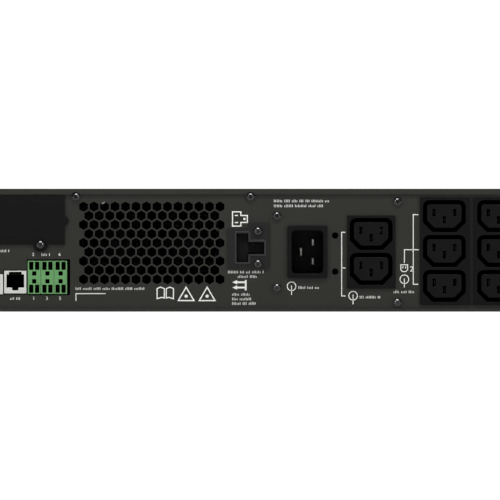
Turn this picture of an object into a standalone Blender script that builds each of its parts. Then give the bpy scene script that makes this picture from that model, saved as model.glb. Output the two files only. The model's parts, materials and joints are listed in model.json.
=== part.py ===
"""Rack-mount uninterruptible power supply, two rack units high and 3 kVA in size.

Every length here is in millimetres. The helpers scale the shapes to metres as they make objects.
X runs across the unit and Y along its depth: the display and the battery drawer face -Y, and the connectors face +Y.
Z is up. The origin is at the middle of the footprint, at the height of the underside.
Places on the rear face are given as (u, v): u is measured from that face's left edge as seen from behind,
and v is the height above the underside.
"""

import math

import bmesh
import bpy
from mathutils import Matrix, Vector

METRES = 0.001

# Driving dimensions
CHASSIS_WIDTH = 440.0
CHASSIS_HEIGHT = 83.0
PANEL_HEIGHT = 86.5
PANEL_WIDTH = 482.6
DEPTH = 600.0
SHEET = 1.2
GAP = 0.3
BEZEL_DEPTH = 35.9
BEZEL_WALL = 2.5
LIP_TOP = 3.8
LIP_BOTTOM = 2.0
SCREW_HEAD_RADIUS = 2.7
SCREW_HEAD_HEIGHT = 2.1
SCREW_SHANK_RADIUS = 1.5
SCREW_HOLE_RADIUS = 1.85
SCREW_LENGTH = 6.0

# Planes that follow from them
SIDE = CHASSIS_WIDTH / 2
FRONT = -DEPTH / 2
CHASSIS_FRONT = FRONT + BEZEL_DEPTH + 0.1
REAR = DEPTH / 2 - (GAP + SHEET + GAP + SCREW_HEAD_HEIGHT)
PROUD = REAR + GAP
SKIN = PROUD + SHEET
BEHIND = REAR - SHEET - GAP
ROOF = CHASSIS_HEIGHT - SHEET
WALL_TOP = ROOF - GAP
FLOOR = SHEET + GAP

# Rear face, in (u, v)
PANEL_SPLIT = 233.2
SLOT_COVER = (20.0, 45.2, 94.8, 78.5)
SLOT_OPENING = (22.5, 48.2, 92.3, 76.1)
SLOT_LUGS = ((78.3, 45.4), (36.5, 45.4))
SLOT_LUG_RADIUS = 5.0
SLOT_TAB = (94.2, 61.3)
SLOT_TAB_RADIUS = 3.2
USB_PORT = (39.0, 11.6, 53.0, 25.2)
JACK = (53.75, 12.2, 68.8, 27.6)
RELAY_BLOCK = (69.6, 11.9, 96.4, 34.3)
RELAY_OPENING = (69.1, 11.2, 98.3, 35.3)
RELAY_COLUMNS = 3
VENT_FIRST = (107.4, 21.75)
VENT_PITCH = 7.1
VENT_HOLE = 6.0
VENT_ROWS = 9
VENT_COLUMNS = 14
SOCKET_FLANGE = (205.0, 29.4, 232.8, 60.2)
SOCKET_STEP = (219.2, 56.0)
SOCKET_BAR = (210.9, 33.3, 218.9, 52.9)
SOCKET_STEM = (218.9, 38.8, 229.6, 47.1)
SOCKET_RIM = 1.3
INLET_CENTRE = (258.8, 40.3)
INLET_FLANGE = (27.2, 35.5)
INLET_CAVITY = (21.4, 29.0)
RETAINER_HOLES = ((277.6, 51.4), (277.6, 27.0))
RETAINER_HOLE_RADIUS = 2.4
OUTLET_PITCH = 23.6
OUTLET_CORE = (23.2, 15.8)
OUTLET_GROOVE = 2.9
OUTLET_MODULES = {
    "outlet_pair": ((285.6, 15.5, 318.4, 65.0), (301.9, 40.65), 2),
    "outlet_triple_inner": ((334.8, 4.4, 368.0, 77.4), (351.4, 40.9), 3),
    "outlet_triple_outer": ((371.5, 4.4, 404.7, 77.4), (388.1, 40.9), 3),
}
HEAVY_OUTLETS = {
    "heavy_outlet_upper": (407.6, 42.0, 434.8, 77.4),
    "heavy_outlet_lower": (407.6, 4.4, 434.8, 39.8),
}
HEAVY_CORE = (19.2, 26.8)
MODULE_FLANGE = 1.0
MODULE_INSET = 1.3
CUTOUT_CLEARANCE = 0.4
COVER_SCREWS = {"cover_screw_left": (102.3, 77.7), "cover_screw_right": (220.4, 77.7)}
AC_SCREWS = {
    "ac_screw_1": (238.2, 64.8),
    "ac_screw_2": (238.2, 16.2),
    "ac_screw_3": (319.7, 74.4),
    "ac_screw_4": (319.7, 6.2),
}
SOCKET_SCREWS = {
    "socket_screw_upper": (225.4, 54.5),
    "socket_screw_lower": (225.4, 32.4),
}
SLOT_SCREWS = dict(zip(("slot_screw_inner", "slot_screw_outer"), SLOT_LUGS))

# Fans, behind the vent
FAN_SIZE = 50.0
FAN_DEPTH = 20.0
FAN_BORE = 23.6
FAN_HUB = 12.5
FAN_BLADES = 7
FAN_U = {"left": 128.1, "right": 178.7}
FAN_V = 46.4
FAN_BACK = REAR - 24.5

# Front
DRAWER_LEFT = -SIDE
DRAWER_RIGHT = 91.7
BEZEL_LEFT = 92.3
DISPLAY_X = 156.15
DISPLAY_Z = PANEL_HEIGHT / 2
DISPLAY_RADIUS = 32.1
DISPLAY_FACE = FRONT + 1.0
BUTTON_NAMES = ("button_escape", "button_down", "button_up", "button_enter")
BUTTON_SIZE = (6.5, 5.0)
BUTTON_SPACING = 11.0
BUTTON_DROP = 14.0
LOUVRE_HEIGHT = 3.0
LOUVRE_PITCH = 6.5
LOUVRE_Z = (8.0, 80.0)
LOUVRE_MARGIN = 8.0
EAR_HOLE_X = 465.1 / 2
EAR_HOLE_RISE = 76.2 / 2
GRIP = (-109.0, 12.0, -19.0, 38.0)
GRIP_DEPTH = 26.0
GRIP_WALL = 3.0
PADDLE_AXIS = (-280.0, 33.5)

# Battery bay
TRAY_LOW = (-212.5, CHASSIS_FRONT + 0.5, FLOOR + 0.1)
TRAY_HIGH = (88.5, 45.8, 60.0)
TRAY_FRONT_TOP = 76.0
PACK_SIZE = (294.0, 151.0, 65.0)
BLOCKS_IN_PACK = 3
BAY_WALL_X = 92.0
BAY_WALL_Y = 60.0

# Electronics
HEATSINK_Y = (80.0, 220.0)
HEATSINKS = {"inverter_heatsink": (-205.0, 10), "charger_heatsink": (15.0, 9)}
CAPACITOR_X = -70.0
CAPACITOR_RADIUS = 17.5
CAPACITORS = {"bus_capacitor_1": 96.0, "bus_capacitor_2": 142.0}
COMPONENT_FOOT = 10.0
INDUCTOR_CENTRE = (-18.0, 195.0)

COLOURS = {
    "powder_coat": ((0.031, 0.032, 0.028), 0.55, 0.3),
    "cover_plastic": ((0.010, 0.010, 0.010), 0.5, 0.0),
    "connector_black": ((0.009, 0.009, 0.010), 0.45, 0.0),
    "bezel_plastic": ((0.016, 0.016, 0.017), 0.5, 0.0),
    "fan_plastic": ((0.006, 0.006, 0.006), 0.5, 0.0),
    "port_grey": ((0.55, 0.55, 0.53), 0.45, 0.0),
    "terminal_green": ((0.12, 0.36, 0.14), 0.45, 0.0),
    "plated_steel": ((0.55, 0.55, 0.55), 0.3, 1.0),
    "black_screw": ((0.03, 0.03, 0.03), 0.35, 0.8),
    "contact_metal": ((0.62, 0.60, 0.56), 0.25, 1.0),
    "circuit_board": ((0.02, 0.12, 0.05), 0.5, 0.0),
    "heatsink_metal": ((0.6, 0.6, 0.62), 0.4, 1.0),
    "battery_case": ((0.05, 0.05, 0.055), 0.6, 0.0),
    "display_glass": ((0.01, 0.012, 0.015), 0.08, 0.0),
    "button_rubber": ((0.03, 0.03, 0.032), 0.6, 0.0),
    "winding": ((0.45, 0.2, 0.06), 0.4, 0.6),
}


# ---------------------------------------------------------------- outlines, as lists of (a, b)


def rectangle(low_a, low_b, high_a, high_b):
    return [(low_a, low_b), (high_a, low_b), (high_a, high_b), (low_a, high_b)]


def around(centre, size):
    """The rectangle of this size about a centre, as (low a, low b, high a, high b)."""
    (a, b), (width, height) = centre, size
    return (a - width / 2, b - height / 2, a + width / 2, b + height / 2)


def grown(box, by):
    low_a, low_b, high_a, high_b = box
    return (low_a - by, low_b - by, high_a + by, high_b + by)


def rounded(corners, radii, steps=3):
    """The convex outline through corners, each turned into an arc of its own radius."""
    points = []
    for i, corner in enumerate(corners):
        if radii[i] == 0:
            points.append(corner)
            continue
        here = Vector(corner)
        before = (Vector(corners[i - 1]) - here).normalized()
        after = (Vector(corners[(i + 1) % len(corners)]) - here).normalized()
        half = before.angle(after) / 2
        centre = here + (before + after).normalized() * radii[i] / math.sin(half)
        start = here + before * radii[i] / math.tan(half) - centre
        turn = math.copysign(math.pi - 2 * half, before.cross(after)) * -1
        for k in range(steps + 1):
            spoke = Matrix.Rotation(turn * k / steps, 2) @ start
            points.append(tuple(centre + spoke))
    return points


def circle(centre, radius, sides):
    turns = (2 * math.pi * (k + 0.5) / sides for k in range(sides))
    return [
        (centre[0] + radius * math.cos(t), centre[1] + radius * math.sin(t))
        for t in turns
    ]


def obround(centre, length, height, steps=4):
    """A slot with round ends that is longest along the first axis."""
    radius, reach = height / 2, (length - height) / 2
    points = []
    for side, first in ((1, -math.pi / 2), (-1, math.pi / 2)):
        for k in range(steps + 1):
            t = first + math.pi * k / steps
            points.append(
                (
                    centre[0] + side * reach + radius * math.cos(t),
                    centre[1] + radius * math.sin(t),
                )
            )
    return points


def keyed(centre, size, corner, chamfer, steps=2):
    """An appliance outlet's outline: the two upper corners round, the two lower ones cut at 45 degrees."""
    low_a, low_b, high_a, high_b = around(centre, size)
    corners = [
        (low_a, low_b + chamfer),
        (low_a + chamfer, low_b),
        (high_a - chamfer, low_b),
        (high_a, low_b + chamfer),
        (high_a, high_b),
        (low_a, high_b),
    ]
    return rounded(corners, (0, 0, 0, 0, corner, corner), steps)


# ---------------------------------------------------------------- shapes, added to a bmesh


def add_box(bm, low, high, place=Matrix()):
    """The box between two corners, moved by a matrix."""
    size = Vector(high) - Vector(low)
    middle = (Vector(high) + Vector(low)) / 2
    matrix = place @ Matrix.Translation(middle) @ Matrix.Diagonal((*size, 1))
    bmesh.ops.create_cube(bm, size=1, matrix=matrix)


def add_prism(bm, outline, place, low, high):
    """Extrudes an outline from low to high. place(a, b, c) gives the point for an outline point at depth c."""
    face = bm.faces.new([bm.verts.new(place(a, b, low)) for a, b in outline])
    moved = bmesh.ops.extrude_face_region(bm, geom=[face])["geom"]
    tops = [item for item in moved if isinstance(item, bmesh.types.BMVert)]
    offset = Vector(place(0, 0, high)) - Vector(place(0, 0, low))
    bmesh.ops.translate(bm, vec=offset, verts=tops)


def at_rear(u, v, y):
    return (SIDE - u, y, v)


def along_y(x, z, y):
    return (x, y, z)


def along_x(y, z, x):
    return (x, y, z)


def along_z(x, y, z):
    return (x, y, z)


def add_turned(bm, profile, centre, axis, steps):
    """Spins a profile of (radius, distance along the axis) about an axis through centre."""
    axis = Vector(axis)
    across = axis.orthogonal().normalized()
    centre = Vector(centre)
    verts = [bm.verts.new(centre + across * r + axis * d) for r, d in profile]
    edges = [bm.edges.new(pair) for pair in zip(verts, verts[1:])]
    before = set(bm.verts)
    bmesh.ops.spin(
        bm,
        geom=verts + edges,
        cent=centre,
        axis=axis,
        angle=2 * math.pi,
        steps=steps,
        use_merge=True,
    )
    made = [v for v in bm.verts if v not in before] + verts
    bmesh.ops.remove_doubles(bm, verts=made, dist=0.001)


def filled(*adders):
    """A bmesh holding the shapes that each (function, arguments...) adds."""
    bm = bmesh.new()
    for function, *arguments in adders:
        function(bm, *arguments)
    return bm


def box_shape(low, high):
    return filled((add_box, low, high))


def rear_shape(outlines, low, high):
    """Prisms of several (u, v) outlines, from low to high along Y."""
    return filled(
        *((add_prism, outline, at_rear, low, high) for outline in outlines)
    )


# ---------------------------------------------------------------- objects


def material(name):
    colour, roughness, metallic = COLOURS[name]
    made = bpy.data.materials.get(name) or bpy.data.materials.new(name)
    made.use_nodes = True
    shader = made.node_tree.nodes["Principled BSDF"]
    shader.inputs["Base Color"].default_value = (*colour, 1)
    shader.inputs["Roughness"].default_value = roughness
    shader.inputs["Metallic"].default_value = metallic
    return made


def make(name, bm, material_name=None, origin=(0, 0, 0)):
    """An object from a bmesh in millimetres, with its origin at a point given in millimetres."""
    bmesh.ops.recalc_face_normals(bm, faces=bm.faces)
    bmesh.ops.translate(bm, vec=-Vector(origin), verts=bm.verts)
    bmesh.ops.scale(bm, vec=(METRES,) * 3, verts=bm.verts)
    mesh = bpy.data.meshes.new(name)
    bm.to_mesh(mesh)
    bm.free()
    mesh.shade_smooth()
    mesh.set_sharp_from_angle(angle=math.radians(35))
    obj = bpy.data.objects.new(name, mesh)
    obj.location = Vector(origin) * METRES
    bpy.context.scene.collection.objects.link(obj)
    if material_name:
        mesh.materials.append(material(material_name))
    return obj


def combine(obj, operation, bm):
    """Joins a bmesh's shapes to obj, or cuts them from it, through a helper that isn't part of the model."""
    helper = make(f"{obj.name}.{operation.lower()}.{len(obj.modifiers)}", bm)
    helper.hide_render = True
    helper.display_type = "WIRE"
    modifier = obj.modifiers.new(operation.title(), "BOOLEAN")
    modifier.operation = operation
    modifier.solver = "EXACT"
    modifier.use_self = True
    modifier.object = helper


def join(obj, bm):
    combine(obj, "UNION", bm)


def cut(obj, bm):
    combine(obj, "DIFFERENCE", bm)


def cut_screw_holes(obj, places, low, high):
    outlines = [circle(place, SCREW_HOLE_RADIUS, 8) for place in places]
    cut(obj, rear_shape(outlines, low, high))


# ---------------------------------------------------------------- enclosure


def chassis_base():
    """Bottom sheet with both side walls, a lip outside the rear panels and flanges inside them."""
    inner = SIDE - SHEET
    section = [
        (-SIDE, 0),
        (SIDE, 0),
        (SIDE, WALL_TOP),
        (inner, WALL_TOP),
        (inner, SHEET),
        (-inner, SHEET),
        (-inner, WALL_TOP),
        (-SIDE, WALL_TOP),
    ]
    base = make(
        "chassis_base",
        filled((add_prism, section, along_y, CHASSIS_FRONT, REAR)),
        "powder_coat",
    )
    bite = SHEET / 2
    flange_y = (BEHIND - SHEET, BEHIND)
    flange_reach = 5.4
    pieces = [
        ((-SIDE, REAR - 4, 0), (SIDE, SKIN, SHEET)),
        ((-SIDE, PROUD, 0), (SIDE, SKIN, LIP_BOTTOM)),
        ((-inner - bite, flange_y[0], bite), (inner + bite, flange_y[1], 4.0)),
        (
            (inner + SHEET - flange_reach, flange_y[0], bite),
            (inner + bite, flange_y[1], WALL_TOP - 1),
        ),
        (
            (-inner - bite, flange_y[0], bite),
            (flange_reach - inner - SHEET, flange_y[1], WALL_TOP - 1),
        ),
    ]
    join(base, filled(*((add_box, low, high) for low, high in pieces)))
    return base


def top_cover():
    """Top sheet with a lip over the rear panels and a flange inside each side wall."""
    cover = make(
        "top_cover",
        box_shape((-SIDE, CHASSIS_FRONT, ROOF), (SIDE, SKIN, CHASSIS_HEIGHT)),
        "powder_coat",
    )
    outer = SIDE - SHEET - GAP
    side_y = (CHASSIS_FRONT + 4, BEHIND - SHEET - 3)
    low = CHASSIS_HEIGHT - 14
    lip_bottom = CHASSIS_HEIGHT - LIP_TOP
    pieces = [
        ((-SIDE, PROUD, lip_bottom), (SIDE, SKIN, ROOF + SHEET / 2)),
        ((outer - SHEET, side_y[0], low), (outer, side_y[1], ROOF + SHEET / 2)),
        ((-outer, side_y[0], low), (SHEET - outer, side_y[1], ROOF + SHEET / 2)),
    ]
    join(cover, filled(*((add_box, low, high) for low, high in pieces)))
    notch = SCREW_HEAD_RADIUS + 0.5
    notches = [circle(place, notch, 16) for place in COVER_SCREWS.values()]
    cut(cover, rear_shape(notches, PROUD - 0.1, SKIN + 1))


def hexagons():
    """The vent's honeycomb: alternate rows are one hole shorter and set in by half a pitch."""
    rise = VENT_PITCH * math.sqrt(3) / 2
    radius = VENT_HOLE / math.sqrt(3)
    outlines = []
    for row in range(VENT_ROWS):
        short = row % 2
        for column in range(VENT_COLUMNS - short):
            u = VENT_FIRST[0] + (column + short / 2) * VENT_PITCH
            v = VENT_FIRST[1] + row * rise
            turns = (math.pi / 6 + k * math.pi / 3 for k in range(6))
            outlines.append(
                [(u + radius * math.cos(t), v + radius * math.sin(t)) for t in turns]
            )
    return outlines


def tee(grow):
    """The battery socket's outline: an upright bar with a stem to its right."""
    bar, stem = grown(SOCKET_BAR, grow), grown(SOCKET_STEM, grow)
    return [
        (bar[0], bar[1]),
        (bar[2], bar[1]),
        (bar[2], stem[1]),
        (stem[2], stem[1]),
        (stem[2], stem[3]),
        (bar[2], stem[3]),
        (bar[2], bar[3]),
        (bar[0], bar[3]),
    ]


def rear_panel():
    """Left rear sheet: card slot, signal ports, honeycomb vent and battery socket."""
    outline = rectangle(SHEET + GAP, FLOOR, PANEL_SPLIT - GAP / 2, WALL_TOP - 0.1)
    panel = make(
        "rear_panel", rear_shape([outline], REAR - SHEET, REAR), "powder_coat"
    )
    ports = (grown(USB_PORT, 0.6), grown(JACK, 0.6))
    openings = [rectangle(*SLOT_OPENING), tee(SOCKET_RIM + CUTOUT_CLEARANCE)]
    openings += [rectangle(*box) for box in (*ports, RELAY_OPENING)]
    through = (REAR - SHEET - 1, REAR + 1)
    cut(panel, rear_shape(openings, *through))
    cut(panel, rear_shape(hexagons(), *through))
    places = (*COVER_SCREWS.values(), *SOCKET_SCREWS.values(), *SLOT_LUGS)
    cut_screw_holes(panel, places, *through)


def ac_panel():
    """Right rear sheet: mains inlet and every outlet."""
    outline = rectangle(
        PANEL_SPLIT + GAP / 2, FLOOR, CHASSIS_WIDTH - SHEET - GAP, WALL_TOP - 0.1
    )
    panel = make("ac_panel", rear_shape([outline], REAR - SHEET, REAR), "powder_coat")
    modules = [box for box, _, _ in OUTLET_MODULES.values()]
    modules += HEAVY_OUTLETS.values()
    modules.append(around(INLET_CENTRE, INLET_FLANGE))
    openings = [
        rectangle(*grown(box, CUTOUT_CLEARANCE - MODULE_INSET)) for box in modules
    ]
    openings += [circle(place, RETAINER_HOLE_RADIUS, 12) for place in RETAINER_HOLES]
    through = (REAR - SHEET - 1, REAR + 1)
    cut(panel, rear_shape(openings, *through))
    cut_screw_holes(panel, AC_SCREWS.values(), *through)


def front_frame():
    """Steel sheet behind the bezel, open for the battery tray and for the cooling air."""
    inner = SIDE - SHEET - GAP
    y = (CHASSIS_FRONT + 0.3, CHASSIS_FRONT + 0.3 + SHEET)
    frame = make(
        "front_frame",
        box_shape((-inner, y[0], FLOOR), (inner, y[1], WALL_TOP - 0.1)),
        "powder_coat",
    )
    windows = [
        ((TRAY_LOW[0] - 2, y[0] - 1, FLOOR - 1), (TRAY_HIGH[0] + 2, y[1] + 1, 78.2)),
        ((105, y[0] - 1, 12), (207, y[1] + 1, 75)),
    ]
    cut(frame, filled(*((add_box, low, high) for low, high in windows)))


def battery_bay_wall():
    """One bent sheet that parts the battery bay from the electronics."""
    inner = SIDE - SHEET - GAP
    outline = [
        (-inner + SHEET + GAP, BAY_WALL_Y),
        (BAY_WALL_X, BAY_WALL_Y),
        (BAY_WALL_X, CHASSIS_FRONT + 2),
        (BAY_WALL_X + SHEET, CHASSIS_FRONT + 2),
        (BAY_WALL_X + SHEET, BAY_WALL_Y + SHEET),
        (-inner + SHEET + GAP, BAY_WALL_Y + SHEET),
    ]
    make(
        "battery_bay_wall",
        filled((add_prism, outline, along_z, FLOOR, ROOF - GAP)),
        "plated_steel",
    )


def rack_ears():
    """An angle on each side: its flange takes two slotted rack holes."""
    flange_inner = SIDE + GAP
    thickness = 2.0
    for name, side in (("rack_ear_left", 1), ("rack_ear_right", -1)):
        outline = [
            (side * flange_inner, CHASSIS_FRONT),
            (side * PANEL_WIDTH / 2, CHASSIS_FRONT),
            (side * PANEL_WIDTH / 2, CHASSIS_FRONT + thickness),
            (side * (flange_inner + thickness), CHASSIS_FRONT + thickness),
            (side * (flange_inner + thickness), CHASSIS_FRONT + 64),
            (side * flange_inner, CHASSIS_FRONT + 64),
        ]
        ear = make(
            name, filled((add_prism, outline, along_z, 0, PANEL_HEIGHT)), "powder_coat"
        )
        slots = [
            obround((side * EAR_HOLE_X, DISPLAY_Z + rise), 10.0, 6.8)
            for rise in (-EAR_HOLE_RISE, EAR_HOLE_RISE)
        ]
        depth = (CHASSIS_FRONT - 1, CHASSIS_FRONT + thickness + 1)
        cut(ear, filled(*((add_prism, slot, along_y, *depth) for slot in slots)))


# ---------------------------------------------------------------- rear fittings


def slot_cover():
    """Blank over the expansion-card slot, with two screw lugs below and a locating tab at its right."""
    cover = make(
        "slot_cover",
        rear_shape([rectangle(*SLOT_COVER)], PROUD, SKIN),
        "cover_plastic",
    )
    lugs = [circle(place, SLOT_LUG_RADIUS, 16) for place in SLOT_LUGS]
    tab = circle(SLOT_TAB, SLOT_TAB_RADIUS, 16)
    join(cover, rear_shape([*lugs, tab], PROUD, SKIN))
    cut_screw_holes(cover, SLOT_LUGS, PROUD - 1, SKIN + 1)


def slot_guide():
    """Channel that guides an expansion card, behind the slot."""
    low_u, high_u = SLOT_COVER[0] + 0.6, SLOT_COVER[2] - 0.6
    low_v, high_v = 44.0, 79.5
    section = [
        (low_u, low_v),
        (high_u, low_v),
        (high_u, high_v),
        (high_u - SHEET, high_v),
        (high_u - SHEET, low_v + SHEET),
        (low_u + SHEET, low_v + SHEET),
        (low_u + SHEET, high_v),
        (low_u, high_v),
    ]
    make("slot_guide", rear_shape([section], REAR - 140, REAR - 7), "plated_steel")


def usb_port():
    """Square data port: a shell round a tongue."""
    port = make(
        "usb_port",
        rear_shape([rectangle(*USB_PORT)], REAR - 15, REAR + 0.6),
        "port_grey",
    )
    centre = ((USB_PORT[0] + USB_PORT[2]) / 2, (USB_PORT[1] + USB_PORT[3]) / 2)
    low_a, low_b, high_a, high_b = around(centre, (8.5, 7.8))
    corners = [(low_a, low_b), (high_a, low_b), (high_a, high_b), (low_a, high_b)]
    mouth = rounded(corners, (0, 0, 1.6, 1.6), 1)
    cut(port, rear_shape([mouth], REAR - 9, REAR + 2))
    tongue = rectangle(*around(centre, (5.6, 3.1)))
    join(port, rear_shape([tongue], REAR - 9.5, REAR - 0.6))


def modular_jack():
    """Eight-way modular socket with the latch notch downwards."""
    jack = make(
        "modular_jack",
        rear_shape([rectangle(*JACK)], REAR - 20, REAR + 0.6),
        "port_grey",
    )
    middle = (JACK[0] + JACK[2]) / 2
    half_mouth, half_top, half_notch = 5.8, 4.1, 2.15
    levels = (JACK[1] + 2.1, JACK[1] + 4.0, JACK[3] - 2.5, JACK[3] - 0.8)
    mouth = [
        (middle - half_notch, levels[0]),
        (middle + half_notch, levels[0]),
        (middle + half_notch, levels[1]),
        (middle + half_mouth, levels[1]),
        (middle + half_mouth, levels[2]),
        (middle + half_top, levels[2]),
        (middle + half_top, levels[3]),
        (middle - half_top, levels[3]),
        (middle - half_top, levels[2]),
        (middle - half_mouth, levels[2]),
        (middle - half_mouth, levels[1]),
        (middle - half_notch, levels[1]),
    ]
    cut(jack, rear_shape([mouth], REAR - 13, REAR + 2))


def relay_terminals():
    """Two decks of spring terminals in three columns: wire holes outside, release holes inside."""
    low_u, low_v, high_u, high_v = RELAY_BLOCK
    block = make(
        "relay_terminals",
        rear_shape([rectangle(*RELAY_BLOCK)], REAR - 16, REAR + 0.9),
        "terminal_green",
    )
    middle_v = (low_v + high_v) / 2
    column = (high_u - low_u) / RELAY_COLUMNS
    wire_hole, release_hole = (2.6, 5.2), (2.6, 2.6)
    wire_rise, release_rise, wire_offset = 7.6, 2.65, 2.05
    wires, releases = [], []
    for k in range(RELAY_COLUMNS):
        centre = low_u + column * (k + 0.5)
        for deck in (-1, 1):
            release = (centre, middle_v + deck * release_rise)
            releases.append(rectangle(*around(release, release_hole)))
            for side in (-1, 1):
                wire = (centre + side * wire_offset, middle_v + deck * wire_rise)
                wires.append(rectangle(*around(wire, wire_hole)))
    cut(block, rear_shape(wires, REAR - 8, REAR + 2))
    cut(block, rear_shape(releases, REAR - 3, REAR + 2))
    grooves = [
        rectangle(low_u + column * k - 0.15, low_v - 1, low_u + column * k + 0.15, high_v + 1)
        for k in range(1, RELAY_COLUMNS)
    ]
    cut(block, rear_shape(grooves, REAR + 0.3, REAR + 2))


def battery_socket():
    """T-shaped socket for an external battery pack, in a screwed flange."""
    low_u, low_v, high_u, high_v = SOCKET_FLANGE
    step_u, step_v = SOCKET_STEP
    flange = [
        (low_u, low_v),
        (high_u, low_v),
        (high_u, high_v),
        (step_u, high_v),
        (step_u, step_v),
        (low_u, step_v),
    ]
    socket = make(
        "battery_socket", rear_shape([flange], PROUD, SKIN), "connector_black"
    )
    join(socket, rear_shape([tee(SOCKET_RIM)], REAR - 22, SKIN + 0.6))
    cut(socket, rear_shape([tee(0)], REAR - 18, SKIN + 2))
    cut_screw_holes(socket, SOCKET_SCREWS.values(), PROUD - 1, SKIN + 1)


def inlet():
    """16 A appliance inlet, turned on its side, and its three pins."""
    flange_face = PROUD + 1.6
    floor_y = flange_face - 18
    housing = make(
        "inlet_housing",
        rear_shape([rectangle(*around(INLET_CENTRE, INLET_FLANGE))], PROUD, flange_face),
        "connector_black",
    )
    body = grown(around(INLET_CENTRE, INLET_FLANGE), -MODULE_INSET)
    join(housing, rear_shape([rectangle(*body)], floor_y - 4, PROUD + 0.8))
    corners = rectangle(*around(INLET_CENTRE, INLET_CAVITY))
    cavity = rounded(corners, (3.0,) * 4, 3)
    cut(housing, rear_shape([cavity], floor_y, flange_face + 1))
    earth_offset, line_offset, half_spacing = -4.3, 3.7, 6.5
    pins = {
        "inlet_pin_line": ((line_offset, half_spacing), (2.0, 5.0)),
        "inlet_pin_neutral": ((line_offset, -half_spacing), (2.0, 5.0)),
        "inlet_pin_earth": ((earth_offset, 0), (2.0, 6.0)),
    }
    seats = []
    for name, (offset, size) in pins.items():
        centre = (INLET_CENTRE[0] + offset[0], INLET_CENTRE[1] + offset[1])
        blade = around(centre, size)
        seats.append(rectangle(*grown(blade, GAP)))
        make(
            name,
            rear_shape([rectangle(*blade)], floor_y - 14, flange_face - 3),
            "contact_metal",
        )
    cut(housing, rear_shape(seats, floor_y - 6, floor_y + 1))


def outlet_body(name, box):
    """The flange and body that every outlet module has."""
    face = PROUD + MODULE_FLANGE
    outlet = make(name, rear_shape([rectangle(*box)], PROUD, face), "connector_black")
    body = rectangle(*grown(box, -MODULE_INSET))
    join(outlet, rear_shape([body], REAR - 26, PROUD + MODULE_FLANGE / 2))
    return outlet, face


def outlet_module(name, box, middle, count):
    """A column of 10 A outlets. In each, a groove rings a core with three contact slots."""
    outlet, face = outlet_body(name, box)
    floor_y = face - 17
    wells, cores, slots = [], [], []
    for k in range(count):
        centre = (middle[0], middle[1] + (k - (count - 1) / 2) * OUTLET_PITCH)
        well = [side + 2 * OUTLET_GROOVE for side in OUTLET_CORE]
        wells.append(keyed(centre, well, 4.2, 6.5))
        cores.append(keyed(centre, OUTLET_CORE, 1.5, 4.9))
        for offset in ((-7, 2.3), (7, 2.3), (0, -2.6)):
            place = (centre[0] + offset[0], centre[1] + offset[1])
            slots.append(rectangle(*around(place, (2.3, 5.0))))
    cut(outlet, rear_shape(wells, floor_y, face + 1))
    join(outlet, rear_shape(cores, floor_y - 1, face - 0.4))
    cut(outlet, rear_shape(slots, face - 12, face + 1))


def heavy_outlet(name, box):
    """One 16 A outlet, turned on its side."""
    outlet, face = outlet_body(name, box)
    floor_y = face - 17
    centre = ((box[0] + box[2]) / 2, (box[1] + box[3]) / 2)
    well_size = [side + 2 * OUTLET_GROOVE - 0.4 for side in HEAVY_CORE]
    well = rounded(rectangle(*around(centre, well_size)), (4.0,) * 4, 2)
    core = rounded(rectangle(*around(centre, HEAVY_CORE)), (1.8,) * 4, 2)
    slots = [
        rectangle(*around((centre[0] + du, centre[1] + dv), (2.3, height)))
        for du, dv, height in ((3.6, 6.5, 5.4), (3.6, -6.5, 5.4), (-4.4, 0, 6.4))
    ]
    cut(outlet, rear_shape([well], floor_y, face + 1))
    join(outlet, rear_shape([core], floor_y - 1, face - 0.4))
    cut(outlet, rear_shape(slots, face - 12, face + 1))


def screw(name, place, seat):
    """Pan-head machine screw with its head's underside a gap off the seat."""
    under, top = seat + GAP, seat + GAP + SCREW_HEAD_HEIGHT
    profile = [
        (0, top),
        (SCREW_HEAD_RADIUS * 0.62, top),
        (SCREW_HEAD_RADIUS, top - 1.0),
        (SCREW_HEAD_RADIUS, under),
        (SCREW_SHANK_RADIUS, under),
        (SCREW_SHANK_RADIUS, under - SCREW_LENGTH),
        (0, under - SCREW_LENGTH),
    ]
    u, v = place
    shape = filled((add_turned, profile, (SIDE - u, 0, v), (0, 1, 0), 12))
    make(name, shape, "black_screw")


# ---------------------------------------------------------------- fans


def fan(side):
    """A frame whose rear spokes carry the bearing, and a rotor turning in it."""
    x, z = SIDE - FAN_U[side], FAN_V
    back, front = FAN_BACK, FAN_BACK + FAN_DEPTH
    hub_y = (front - 3, front - 0.5)
    body = rounded(rectangle(*around((x, z), (FAN_SIZE, FAN_SIZE))), (3.0,) * 4, 2)
    frame = make(
        f"fan_frame_{side}",
        filled((add_prism, body, along_y, back, front)),
        "fan_plastic",
    )
    bore = circle((x, z), FAN_BORE, 24)
    cut(frame, filled((add_prism, bore, along_y, back - 1, front + 1)))
    spokes = filled((add_prism, circle((x, z), FAN_HUB, 16), along_y, *hub_y))
    reach, half_width = FAN_BORE + 1, 1.5
    low = (-reach, hub_y[0] + 0.4, -half_width)
    high = (reach, hub_y[1] - 0.4, half_width)
    for turn in (45, 135):
        place = Matrix.Translation((x, 0, z)) @ Matrix.Rotation(math.radians(turn), 4, "Y")
        add_box(spokes, low, high, place)
    join(frame, spokes)
    bearing = circle((x, z), 1.9, 12)
    cut(frame, filled((add_prism, bearing, along_y, hub_y[0] - 1, hub_y[1] + 1)))
    fan_rotor(side, (x, back, z), hub_y[0])


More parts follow.
